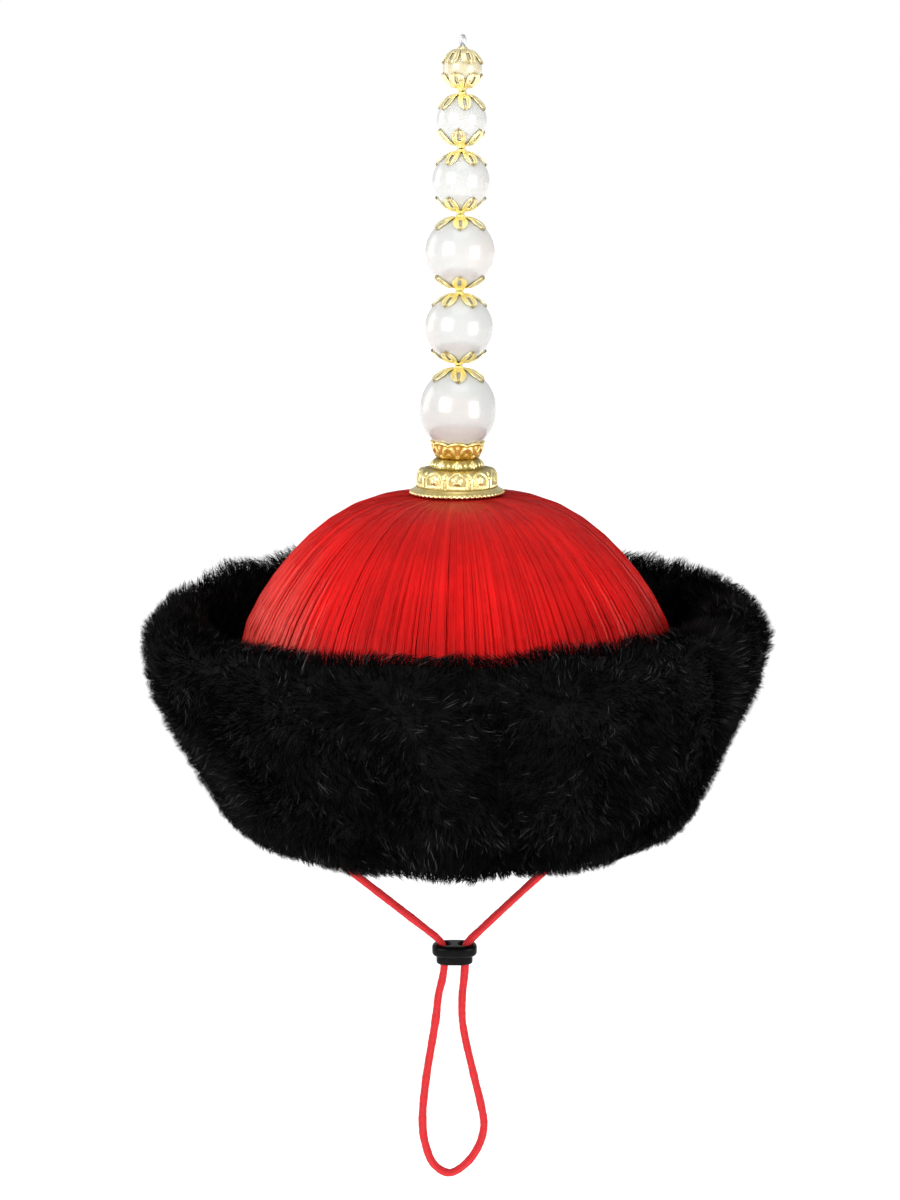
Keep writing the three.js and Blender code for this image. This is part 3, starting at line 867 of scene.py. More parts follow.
@dataclass
class ChinCord:
    """The red cord, from one tab through the slider, round the loop and back to the other tab."""

    diameter: float = 3.4
    sides: int = 14
    rings: int = 520
    plait_depth: float = 0.16
    fullness: float = 1.1
    fuzz_hairs: int = 7000
    fuzz_length: float = 0.75
    fuzz_width: float = 0.1
    unevenness: float = 0.055
    uneven_pitch: float = 9.0
    braid_repeat: float = 0.7
    # From the left tab to the right one, through the slider and round the loop.
    route: tuple[Place, ...] = (
        (-84.8, 0, 12.7), (-84.8, 0, 8.6), (-83.8, 0.1, 3.2), (-79.5, 0.2, -3), (-71, 0.4, -10.2),
        (-48.3, 0.6, -29.2), (-26.6, 0.4, -46.7), (-13, 0.2, -57.6), (-8.9, 0, -61), (-6.6, 0, -64.2),
        (-5.8, 0, -68), (-5.8, 0, -74.5), (-6.6, 0.2, -80.5), (-8.4, 0.5, -88.5), (-9.8, 0.9, -101),
        (-14.4, 1.5, -131), (-16, 1.2, -150), (-15, 0.8, -161), (-10.6, 0.3, -172.3), (-3.5, 0, -176.4),
        (4.4, -0.3, -171.6), (10.6, -0.8, -162), (12.8, -1.2, -152), (11.2, -1.4, -141), (8.4, -1.2, -129),
        (2.8, -0.6, -102), (2.6, -0.3, -88.5), (3.4, -0.1, -80.5), (3.8, 0, -74.5), (3.8, 0, -68),
        (4.5, 0, -64.4), (6.6, 0, -61.4), (11, 0.1, -57), (20.9, 0.4, -47.4), (39.4, 0.6, -29.8),
        (57, 0.5, -13.6), (72, 0.3, -1), (80, 0.1, 4.4), (83.8, 0, 8.2), (84.8, 0, 12.7),
    )

    def centreline(self) -> Points:
        """Evenly spaced points along the cord."""
        return smooth_line(self.route, self.rings)

    def build(self, with_pieces: Sequence[bpy.types.Object]) -> bpy.types.Object:
        """Args:
            with_pieces: The separate pieces on the cord; not used.

        Returns:
            The tube.
        """
        line = self.centreline()
        ahead = unit(np.gradient(line, axis=0))
        across = unit(np.cross(ahead, [0, 1, 0]))
        third = np.cross(ahead, across)
        turn = np.arange(self.sides) / self.sides * FULL_TURN
        along = np.linspace(0, 1, self.rings)
        length = np.linalg.norm(np.diff(line, axis=0), axis=1).sum()
        lay = along[:, None] * length / self.diameter * math.pi
        plait = np.sin(2 * turn[None] + lay) * np.sin(2 * turn[None] - lay)
        uneven = 1 + self.unevenness * waves(line, self.uneven_pitch, 5)[:, None]
        radius = self.diameter / 2 * self.fullness * uneven - self.plait_depth * (0.5 + 0.5 * plait)
        spoke = np.cos(turn)[None, :, None] * across[:, None] + np.sin(turn)[None, :, None] * third[:, None]
        rings = line[:, None] + spoke * radius[:, :, None]
        grid = np.arange(self.rings * self.sides).reshape(self.rings, self.sides)
        beside = np.roll(grid, -1, axis=1)
        faces = np.stack([grid[:-1], beside[:-1], beside[1:], grid[1:]], axis=-1).reshape(-1, 4)
        tube = joined_from_arrays("cord_braid", rings.reshape(-1, 3), faces, {})
        self.close_and_unwrap(tube, length)
        carried(tube, Slot.CORD, BraidedCord().material(), "chin_cord")
        fuzz = carried(self.fuzz(line, across, third), Slot.CORD, CORD_FUZZ.material())
        LOG.info("cord length %.1f mm", length)
        return tube

    def close_and_unwrap(self, tube: bpy.types.Object, length: float) -> None:
        """Closes the tube's two ends and gives it a UV map with the braid's repeats.

        Args:
            tube: The open tube.
            length: The cord's length.
        """
        bm = bmesh.new()
        bm.from_mesh(tube.data)
        chart = bm.loops.layers.uv.new("UVMap")
        repeats = length / self.diameter
        for face in bm.faces:
            column = face.index % self.sides
            row = face.index // self.sides
            corners = ((0, 0), (1, 0), (1, 1), (0, 1))
            for loop, (right, up) in zip(face.loops, corners):
                height = (row + up) / self.rings * repeats * self.braid_repeat
                loop[chart].uv = ((column + right) / self.sides, height)
        bmesh.ops.holes_fill(bm, edges=[edge for edge in bm.edges if edge.is_boundary])
        bmesh.ops.recalc_face_normals(bm, faces=bm.faces)
        bm.to_mesh(tube.data)
        bm.free()
        tube.data.shade_smooth()

    def fuzz(self, line: Points, across: Points, third: Points) -> bpy.types.Object:
        """Makes the short loose fibres on the cord.

        Args:
            line: The cord's centreline.
            across: A side direction at each of its points.
            third: The direction square to both.

        Returns:
            The joined fibres.
        """
        rng = np.random.default_rng(31)
        ring = rng.integers(1, self.rings - 2, self.fuzz_hairs)
        turn = rng.uniform(0, FULL_TURN, self.fuzz_hairs)[:, None]
        spoke = np.cos(turn) * across[ring] + np.sin(turn) * third[ring]
        ahead = unit(line[ring + 1] - line[ring])
        shift = ahead * rng.uniform(0, 1.2, (self.fuzz_hairs, 1))
        roots = line[ring] + shift + spoke * (self.diameter / 2 - 0.15)
        lean = ahead * rng.normal(0, 0.6, (self.fuzz_hairs, 1)) + unit(rng.normal(size=roots.shape)) * 0.4
        reach = self.fuzz_length * rng.uniform(0.5, 1.2, (self.fuzz_hairs, 1))
        middles = roots + unit(spoke + 0.5 * lean) * reach * 0.5
        tips = roots + unit(spoke * 0.7 + lean) * reach
        width = np.full(self.fuzz_hairs, self.fuzz_width)
        return blades("cord_fuzz", roots, middles, tips, width, rng.uniform(0, 1, self.fuzz_hairs), rng)


@dataclass
class Slider:
    """The two-hole slider: an oval head with rounded edges on a narrower foot."""

    foot_height: float = 4.0
    foot_inset: float = 2.0
    edge: float = 1.7
    foot_edge: float = 1.1
    holes_apart: float = 9.6
    hole_radius: float = 2.45
    mouth_radius: float = 3.5
    mouth_depth: float = 2.4
    end_steps: int = 32
    squareness: float = 0.78
    bulge: float = 1.6

    def oval(self, width: float, depth: float, low: float, high: float) -> bmesh.types.BMesh:
        """Makes an upright plate with round ends.

        Args:
            width: Its whole width.
            depth: Its whole depth, which is twice the radius of its ends.
            low: Its lower face.
            high: Its upper face.

        Returns:
            The closed plate.
        """
        bm = bmesh.new()
        bmesh.ops.create_circle(bm, segments=2 * self.end_steps, radius=1, cap_ends=True)
        for vert in bm.verts:
            x = math.copysign(abs(vert.co.x) ** self.squareness, vert.co.x) * width / 2
            y = math.copysign(abs(vert.co.y) ** self.squareness, vert.co.y) * depth / 2
            vert.co = (x, y, low)
        raised = bmesh.ops.extrude_face_region(bm, geom=list(bm.faces))["geom"]
        lifted = [item for item in raised if isinstance(item, bmesh.types.BMVert)]
        bmesh.ops.translate(bm, vec=(0, 0, high - low), verts=lifted)
        bmesh.ops.recalc_face_normals(bm, faces=bm.faces)
        return bm

    def rounded(self, bm: bmesh.types.BMesh, edge: float, faces_up: Iterable[float]) -> None:
        """Rounds the plate's rims that face up or down.

        Args:
            bm: The plate.
            edge: The rounding's width.
            faces_up: The Z direction of each face whose rim is rounded.
        """
        wanted = [face for face in bm.faces if any(abs(face.normal.z - way) < 0.1 for way in faces_up)]
        rims = {rim for face in wanted for rim in face.edges}
        bmesh.ops.bevel(
            bm, geom=list(rims), offset=edge, segments=6, profile=0.5, affect="EDGES", material=-1
        )

    def build(self) -> bpy.types.Object:
        """Makes the slider with its two flared holes.

        Returns:
            The finished slider.
        """
        low, high = node_box("cord_slider")
        size, centre = high - low, (low + high) / 2
        head_foot = low.z + self.foot_height
        head = self.oval(size.x, size.y + self.bulge, head_foot, high.z)
        self.rounded(head, self.edge, (1.0, -1.0))
        foot_width, foot_depth = size.x - 2 * self.foot_inset, size.y + self.bulge - 2 * self.foot_inset
        foot = self.oval(foot_width, foot_depth, low.z, head_foot + self.edge)
        self.rounded(foot, self.foot_edge, (-1.0,))
        body = finished("slider_body", head)
        tools = [finished("slider_foot", foot)]
        for side in (-1, 1):
            cutter = self.hole_cutter(side * self.holes_apart / 2, low.z, high.z)
            tools.append(finished(f"slider_hole_{'left' if side < 0 else 'right'}", cutter))
        for tool in tools:
            step = body.modifiers.new("joint", "BOOLEAN")
            step.operation = "UNION" if tool.name == "slider_foot" else "DIFFERENCE"
            step.solver = "EXACT"
            step.object = tool
        mesh = bpy.data.meshes.new_from_object(body.evaluated_get(bpy.context.evaluated_depsgraph_get()))
        body.modifiers.clear()
        body.data = mesh
        for tool in tools:
            bpy.data.objects.remove(tool)
        mesh.transform(Matrix.Translation((centre.x * MM, centre.y * MM, 0)))
        mesh.shade_smooth()
        mesh.set_sharp_from_angle(angle=math.radians(50))
        return carried(body, Slot.PLASTIC, Moulded().material(), "cord_slider")

    def hole_cutter(self, x: float, low: float, high: float) -> bmesh.types.BMesh:
        """Makes the solid that cuts one hole with its flared mouth.

        Args:
            x: The hole's place.
            low: The slider's underside.
            high: The slider's top.

        Returns:
            The closed cutter.
        """
        rows = [
            (0, low - 2), (self.hole_radius + 0.5, low - 2), (self.hole_radius + 0.5, low),
            (self.hole_radius, low + 0.8), (self.hole_radius, high - self.mouth_depth),
            (self.hole_radius + 0.35, high - self.mouth_depth * 0.45), (self.mouth_radius, high + 0.01),
            (self.mouth_radius, high + 2), (0, high + 2),
        ]
        bm = spun(rows, 32, closed=False)
        bmesh.ops.translate(bm, vec=(x, 0, 0), verts=bm.verts)
        return bm


# Cap, threads and fur


@dataclass
class DomeShape:
    """The cap's dome, on an oval plan that is longer from front to back."""

    gores: tuple[str, ...] = tuple(f"crown_gore_{number}" for number in range(1, 7))
    band_height: float = 66.0
    thread_start: float = 15.0
    # The outside of the dome, as shares of the wall's radius and of the dome's height.
    rows: tuple[tuple[float, float], ...] = (
        (1, 0), (0.99, 0.2), (0.93, 0.39), (0.78, 0.66), (0.61, 0.85), (0.43, 0.96), (0.13, 1)
    )

    def __post_init__(self) -> None:
        """Reads the cap's size from the frame."""
        boxes = [node_box(gore) for gore in self.gores]
        low = np.min([box[0] for box in boxes], axis=0)
        high = np.max([box[1] for box in boxes], axis=0)
        self.radius = (high[0] - low[0]) / 2
        self.extra = (high[1] - low[1]) / 2 - self.radius
        self.height = high[2]

    def profile(self, count: int, foot: float, innermost: float) -> tuple[Points, Points]:
        """Runs from the lower edge up to the top ring.

        Args:
            count: How many points come back.
            foot: Height of the first point.
            innermost: Radius of the last point.

        Returns:
            The radius and height of each point, and the outward direction there.
        """
        rise = self.height - self.band_height
        chosen = [(self.radius * out, self.band_height + rise * up) for out, up in self.rows]
        chosen[-1] = (innermost, self.height)
        line = smooth_line([(self.radius, foot), *chosen], count)
        ahead = unit(np.gradient(line, axis=0))
        return line, np.column_stack([ahead[:, 1], -ahead[:, 0]])

    def on_oval(self, radius: Points, angle: Points, height: Points) -> Points:
        """Places points on the oval plan.

        Args:
            radius: How far out they lie at the sides.
            angle: Their angles, with the front at 0.
            height: Their heights.

        Returns:
            The places, with x, y and z along the last axis.
        """
        depth = radius + self.extra * np.minimum(1, radius / self.radius)
        return np.stack([radius * np.sin(angle), -depth * np.cos(angle), height], axis=-1)

    def stretch(self, bm: bmesh.types.BMesh) -> None:
        """Brings a round spun shell to the oval plan.

        Args:
            bm: The shell.
        """
        for vert in bm.verts:
            radius = math.hypot(vert.co.x, vert.co.y)
            vert.co.y *= 1 + self.extra * min(1, radius / self.radius) / max(radius, 1e-6)


@dataclass
class CapShell:
    """The cloth cap with a rolled hem, its stitches and the two tabs that hold the cord."""

    wall: float = 2.0
    columns: int = 96
    rows: int = 40
    hem_height: float = 7.0
    hem_start: float = 1.2
    hem_roll: float = 0.45
    stitch_length: float = 2.6
    stitch_gap: float = 1.6
    stitch_thickness: float = 0.28
    pin_play: float = 1.7

    def build(self, dome: DomeShape) -> None:
        """Makes the cap and its stitches.

        Args:
            dome: The dome's shape.
        """
        outside, normals = dome.profile(self.rows, 0.0, self.pin_play)
        inside = outside - normals * self.wall
        inside[0] = (dome.radius - self.wall, 0)
        inside[-1] = (self.pin_play, dome.height - self.wall)
        hem = [
            (dome.radius - self.wall / 2 * (1 + math.cos(turn)), self.hem_roll * (1 - math.sin(turn)))
            for turn in np.linspace(0.2, math.pi - 0.2, 7)
        ]
        outside[0, 1] = inside[0, 1] = self.hem_start
        bm = spun([*outside, *inside[::-1], *hem], self.columns)
        dome.stretch(bm)
        carried(finished("cap_shell", bm), Slot.CLOTH, CAP_CLOTH.material(), *dome.gores)
        girth = FULL_TURN * (dome.radius - self.wall)
        count = int(girth / (self.stitch_length + self.stitch_gap))
        reach = np.array(dome.radius - self.wall - 0.05)
        spots = []
        for angle in np.arange(count) / count * FULL_TURN:
            place = dome.on_oval(reach, np.array(angle), np.array(self.hem_height))
            spots.append((Vector(place), Vector((math.cos(angle), math.sin(angle), 0))))
        carried(self.stitches("hem_stitches", spots), Slot.CLOTH, STITCH_THREAD.material())

    def stitches(self, name: str, spots: Sequence[tuple[Vector, Vector]]) -> bpy.types.Object:
        """Sets short stitches.

        Args:
            name: The piece's name.
            spots: Each stitch's place and direction.

        Returns:
            The joined stitches.
        """
        bm = bmesh.new()
        for place, course in spots:
            turn = course.to_track_quat("X", "Z").to_matrix().to_4x4()
            size = Matrix.Diagonal((self.stitch_length / 2, self.stitch_thickness, self.stitch_thickness, 1))
            stand = Matrix.Translation(place) @ turn @ size
            bmesh.ops.create_icosphere(bm, subdivisions=1, radius=1, matrix=stand)
        return finished(name, bm)

    def build_tab(self, side: str) -> None:
        """Makes one sewn tab.

        Args:
            side: left or right.
        """
        low, high = node_box(f"cord_tab_{side}")
        size, centre = high - low, (low + high) / 2
        bm = bmesh.new()
        bmesh.ops.create_cube(bm, size=1, matrix=Matrix.Translation(centre) @ Matrix.Diagonal((*size, 1)))
        bmesh.ops.subdivide_edges(bm, edges=bm.edges, cuts=5, use_grid_fill=True)
        for vert in bm.verts:
            away = Vector(((vert.co[i] - centre[i]) / (size[i] / 2) for i in range(3)))
            pillow = (1 - away.y**4) * (1 - away.z**4)
            vert.co.x = centre.x + (vert.co.x - centre.x) * (0.62 + 0.38 * pillow)
        smooth_once(bm, 0.4)
        carried(finished(f"tab_pad_{side}", bm), Slot.CLOTH, CAP_CLOTH.material(), f"cord_tab_{side}")


@dataclass
class ThreadDome:
    """The red silk threads, gathered into locks, over a ground of threads coloured darker as painted shade.
    """

    locks: int = 210
    threads_in_lock: int = 37
    steps: int = 12
    foot: float = 61.0
    foot_depth: float = 9.0
    top_depth: float = 1.25
    top_width: float = 0.2
    foot_width: float = 0.34
    # How far the tone is raised on the left flank: painted sheen.
    painted_flank_sheen: float = 0.75
    lock_swell: float = 0.3
    gap: float = 0.036
    widest_gap: float = 0.12
    ragged_ends: float = 0.035
    ragged_locks: float = 0.02
    wander: float = 0.22
    drift: float = 0.25
    stray_above: float = 0.96
    ground_columns: int = 108
    ground_rows: int = 30
    ground_share: float = 0.86
    ground_drop: float = 0.25
    ground_inside: float = 0.4

    def depth(self, dome: DomeShape, height: Points) -> Points:
        """How thick the threads lie at a height."""
        up = np.clip((height - dome.band_height) / (dome.height - dome.band_height), 0, 1)
        return self.foot_depth + (self.top_depth - self.foot_depth) * up

    def build_ground(self, dome: DomeShape) -> None:
        """Makes the ground between the locks, coloured darker than the threads as painted shade.

        Args:
            dome: The dome's shape.
        """
        line, normals = dome.profile(self.ground_rows, self.foot, dome.thread_start - 2)
        lift = self.depth(dome, line[:, 1])[:, None]
        outside = line + normals * (lift * self.ground_share - self.ground_drop)
        inside = line + normals * self.ground_inside
        bm = spun([*outside, *inside[::-1]], self.ground_columns)
        dome.stretch(bm)
        carried(finished("thread_ground", bm), Slot.THREAD, THREAD_GROUND_PAINTED_SHADE.material(), "thread_fringe")

    def build_threads(self, dome: DomeShape) -> None:
        """Makes the threads as fine ribbons from the top ring to the ragged ends.

        Args:
            dome: The dome's shape.
        """
        rng = np.random.default_rng(7)
        line, normals = dome.profile(160, self.foot, dome.thread_start)
        count = self.locks * self.threads_in_lock
        shares = rng.uniform(0.25, 2.1, self.locks)
        edges = np.concatenate([[0], np.cumsum(shares / shares.sum())]) * FULL_TURN
        lock = rng.choice(self.locks, count, p=shares / shares.sum())
        across = rng.uniform(-1, 1, count)
        half = (edges[lock + 1] - edges[lock]) / 2
        middle = (edges[lock + 1] + edges[lock]) / 2
        s = np.linspace(0, 1, self.steps)[None]
        ends = rng.uniform(0, self.ragged_ends, count)
        ends = ends + self.ragged_locks * rng.uniform(0, 1, self.locks)[lock]
        place = (1 - s) + ends[:, None] * s
        row = place * (len(line) - 1)
        columns = (line[:, 0], line[:, 1], normals[:, 0], normals[:, 1])
        radius, height, out, up = (np.interp(row, np.arange(len(line)), column) for column in columns)
        opened = eased(s, 0.12, 1.0)
        parting = self.gap * rng.exponential(1, self.locks)[lock][:, None]
        gather = 1 - np.minimum(parting, self.widest_gap) * opened
        wander = self.wander * rng.normal(size=count)[:, None] * opened
        strays = (rng.uniform(0, 1, count) > self.stray_above)[:, None]
        stray = strays * rng.normal(0, 1.1, count)[:, None] * s
        phase = rng.uniform(0, FULL_TURN, self.locks)[lock][:, None]
        drift = self.drift * np.sin(2.5 * s + phase) * opened
        side = np.clip(across[:, None] * gather + wander * 0.5, -1.05, 1.05) + drift + stray
        angle = middle[:, None] + half[:, None] * side
        rounding = np.sqrt(np.clip(1 - np.clip(across[:, None], -1, 1) ** 2, 0, 1))
        swell = self.lock_swell * rng.uniform(0.2, 1.3, self.locks)[lock][:, None] * (0.12 + 0.88 * opened)
        layer = rng.uniform(-0.3, 0, count)[:, None] * (0.3 + 0.7 * s)
        lift = self.depth(dome, height) - swell * (1 - rounding) + layer
        spine = dome.on_oval(radius + out * lift, angle, height + up * lift)
        outward = np.stack([out * np.sin(angle), -out * np.cos(angle), up], axis=-1)
        ahead = unit(np.gradient(spine, axis=1))
        beside = unit(np.cross(ahead, outward))
        roll = -across[:, None] * 0.75 * opened + rng.normal(0, 0.3, count)[:, None]
        flat = beside * np.cos(roll)[..., None] + unit(np.cross(beside, ahead)) * np.sin(roll)[..., None]
        width = self.top_width + (self.foot_width - self.top_width) * s
        width = width * rng.uniform(0.7, 1.25, count)[:, None] * (1 - 0.7 * eased(s, 0.93, 1.0))
        points, faces = self.ribbons(spine, flat, width)
        swathe = 0.5 + 0.3 * waves(np.column_stack([np.sin(middle), np.cos(middle), 0 * middle]), 0.35, 9)
        own = rng.uniform(0, 1, count)
        tone = 0.25 * rng.uniform(0, 1, self.locks)[lock] + 0.3 * swathe + 0.45 * own
        # Painted sheen: the tone is raised on both flanks, most on the left, so the threads there are lighter
        # and more of them take the painted highlight.
        sheen = self.painted_flank_sheen * eased(-spine[..., 0], 40, 98) + 0.4 * eased(spine[..., 0], 50, 98)
        marks = {
            "tone": np.repeat(np.clip(tone[:, None] + sheen, 0, 1).ravel(), 2),
            "along": np.repeat(np.tile(s[0], count), 2),
        }
        threads = joined_from_arrays("dome_threads", points, faces, marks)
        carried(threads, Slot.THREAD, SILK_THREAD.material())

    def ribbons(self, spine: Points, flat: Points, width: Points) -> tuple[Points, Points]:
        """Lays a flat ribbon along each thread.

        Args:
            spine: The places along each thread.
            flat: The ribbon's side direction at each place.
            width: Its width there.

        Returns:
            The ribbons' points and their faces.
        """
        shift = flat * (width / 2)[..., None]
        points = np.stack([spine - shift, spine + shift], axis=2).reshape(-1, 3)
        grid = np.arange(len(points)).reshape(len(spine), self.steps, 2)
        corners = [grid[:, :-1, 0], grid[:, 1:, 0], grid[:, 1:, 1], grid[:, :-1, 1]]
        return points, np.stack(corners, axis=-1).reshape(-1, 4)


@dataclass
class FurBrim:
    """The upturned brim of deep black fur: a soft ground and four fields of hair over it."""

    hairs: int = 178000
    length: float = 8.2
    width: float = 0.295
    ground_depth: float = 4.6
    foot_thickness: float = 1.8
    foot_trim: float = 0.32
    foot_low: float = 4.0
    foot_high: float = 24.0
    swell: float = 1.6
    swell_pitch: float = 42.0
    tufts: int = 7500
    gather: float = 0.5
    seat_radius: float = 93.5
    crest_height: float = 84.0
    stand_up: float = 0.85
    comb_pull: float = 0.85
    loose: float = 0.28
    longer_behind: float = 0.55
    ragged_foot: float = 0.35
    fields: tuple[str, ...] = ("front", "right", "back", "left")

    def build_ground(self) -> bpy.types.Object:
        """Makes the soft ground from the brim's solid, drawn in to leave room for the hair.

        Returns:
            The ground.
        """
        bm = bmesh.new()
        bm.from_mesh(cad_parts["fur_brim"].data)
        bmesh.ops.remove_doubles(bm, verts=bm.verts, dist=1e-5)
        bmesh.ops.scale(bm, vec=(1 / MM, 1 / MM, 1 / MM), verts=bm.verts)
        for cuts, rounds in ((1, 2), (1, 4)):
            bmesh.ops.subdivide_edges(bm, edges=bm.edges, cuts=cuts, use_grid_fill=True)
            for _ in range(rounds):
                smooth_once(bm, 0.5)
        bm.normal_update()
        verts = list(bm.verts)
        places = np.array([vert.co for vert in verts])
        away = eased(np.hypot(places[:, 0], places[:, 1]), self.seat_radius - 2, self.seat_radius + 8)
        above_foot = eased(places[:, 2], self.foot_low, self.foot_high)
        depth = self.ground_depth * (1 - self.foot_trim * (1 - above_foot))
        calm = 0.45 + 0.55 * above_foot
        push = away * (self.swell * calm * waves(places, self.swell_pitch, 3) - depth)
        for vert, amount in zip(verts, push):
            vert.co += vert.normal * amount
        bmesh.ops.triangulate(bm, faces=[face for face in bm.faces if len(face.verts) > 4])
        return carried(finished("fur_ground", bm), Slot.FUR, FUR_GROUND.material(), "fur_brim")

    def scatter(self, ground: bpy.types.Object, rng: np.random.Generator) -> tuple[Points, Points]:
        """Spreads hair roots evenly over the ground, apart from where it lies against the cap.

        Args:
            ground: The soft ground.
            rng: Chooses the places.

        Returns:
            The roots and the outward directions there.
        """
        mesh = ground.data
        mesh.calc_loop_triangles()
        triangles = np.empty(len(mesh.loop_triangles) * 3, np.int32)
        mesh.loop_triangles.foreach_get("vertices", triangles)
        corners = np.empty(len(mesh.vertices) * 3, np.float32)
        normals = np.empty_like(corners)
        mesh.vertices.foreach_get("co", corners)
        mesh.vertices.foreach_get("normal", normals)
        corners = corners.reshape(-1, 3)[triangles.reshape(-1, 3)] / MM
        normals = normals.reshape(-1, 3)[triangles.reshape(-1, 3)]
        area = np.linalg.norm(np.cross(corners[:, 1] - corners[:, 0], corners[:, 2] - corners[:, 0]), axis=1)
        centre = corners.mean(axis=1)
        seat = (np.hypot(centre[:, 0], centre[:, 1] * 0.92) < self.seat_radius) & (centre[:, 2] < 50)
        area[seat] = 0
        area *= 1 + self.foot_thickness * (1 - eased(centre[:, 2], 6, 20))
        chosen = rng.choice(len(area), self.hairs, p=area / area.sum())
        first, second = rng.uniform(0, 1, (2, self.hairs, 1))
        folded = first + second > 1
        first, second = np.where(folded, 1 - first, first), np.where(folded, 1 - second, second)
        weights = np.stack([1 - first - second, first, second], axis=1)
        return (corners[chosen] * weights).sum(axis=1), unit((normals[chosen] * weights).sum(axis=1))

    def combed(self, roots: Points, normals: Points) -> Points:
        """Gives the way that the hair is brushed: up at the crest, down at the foot and mixed between.

        Args:
            roots: Where the hairs start.
            normals: The outward directions there.

        Returns:
            A sideways push for each hair.
        """
        around = unit(np.column_stack([-roots[:, 1], roots[:, 0], np.zeros(len(roots))]))
        rise = np.array([0.0, 0.0, 1.0]) - normals * normals[:, 2:3]
        high = eased(roots[:, 2], self.crest_height - 18, self.crest_height)
        low = 1 - eased(roots[:, 2], 8, 34)
        lift = 0.55 * high - 0.75 * low - 0.1 + 0.4 * waves(roots, 38, 11)
        turn = 0.75 * waves(roots, 46, 12) - 0.25 * np.sign(roots[:, 0])
        return rise * lift[:, None] + around * turn[:, None]

    def build_hair(self, ground: bpy.types.Object) -> None:
        """Grows the hair, gathers it into tufts and parts it into four fields.

        Args:
            ground: The soft ground that it grows on.
        """
        rng = np.random.default_rng(21)
        roots, normals = self.scatter(ground, rng)
        comb = self.combed(roots, normals)
        loose = rng.normal(0, self.loose, roots.shape)
        behind = eased(roots[:, 1:2], 20, 90) * eased(roots[:, 2:3], 70, 92)
        trim = 1 - self.foot_trim * (1 - eased(roots[:, 2:3], self.foot_low, self.foot_high))
        uneven = rng.uniform(-1, 1, (len(roots), 1))
        ragged = 1 + self.ragged_foot * (1 - eased(roots[:, 2:3], 2, 18)) * uneven
        share = rng.uniform(0.72, 1.12, (len(roots), 1))
        reach = self.length * share * (1 + self.longer_behind * behind) * trim * ragged
        course = unit(normals * self.stand_up + comb * self.comb_pull + loose)
        tips = roots + course * reach
        heads = rng.choice(len(roots), self.tufts, replace=False)
        tree = kdtree.KDTree(self.tufts)
        for index, head in enumerate(heads):
            tree.insert(roots[head], index)
        tree.balance()
        nearest = heads[[tree.find(root)[1] for root in roots]]
        draw = self.gather * rng.uniform(0.5, 1.2, (len(roots), 1))
        tips = tips + (tips[nearest] - tips) * draw
        middles = roots + unit(normals * 1.1 + comb * 0.4 + loose) * reach * 0.5
        middles = middles + (middles[nearest] - middles) * draw * 0.35
        # Painted highlights: in patches more hairs pass the tone at which they take the glint colour.
        tone = rng.uniform(0, 1, len(roots)) * np.where(waves(roots, 26, 14) > 0.3, 1.05, 0.957)
        width = self.width * rng.uniform(0.7, 1.3, len(roots))
        turn = np.arctan2(roots[:, 0], -roots[:, 1]) + FULL_TURN / 8
        quarter = np.floor(np.mod(turn, FULL_TURN) / (FULL_TURN / 4)).astype(int) % 4
        finish = FUR_HAIR.material()
        for index, field in enumerate(self.fields):
            mine = quarter == index
            chosen = (part[mine] for part in (roots, middles, tips, width, tone))
            piece = blades(f"fur_{field}", *chosen, rng)
            carried(piece, Slot.FUR, finish)


# Finial


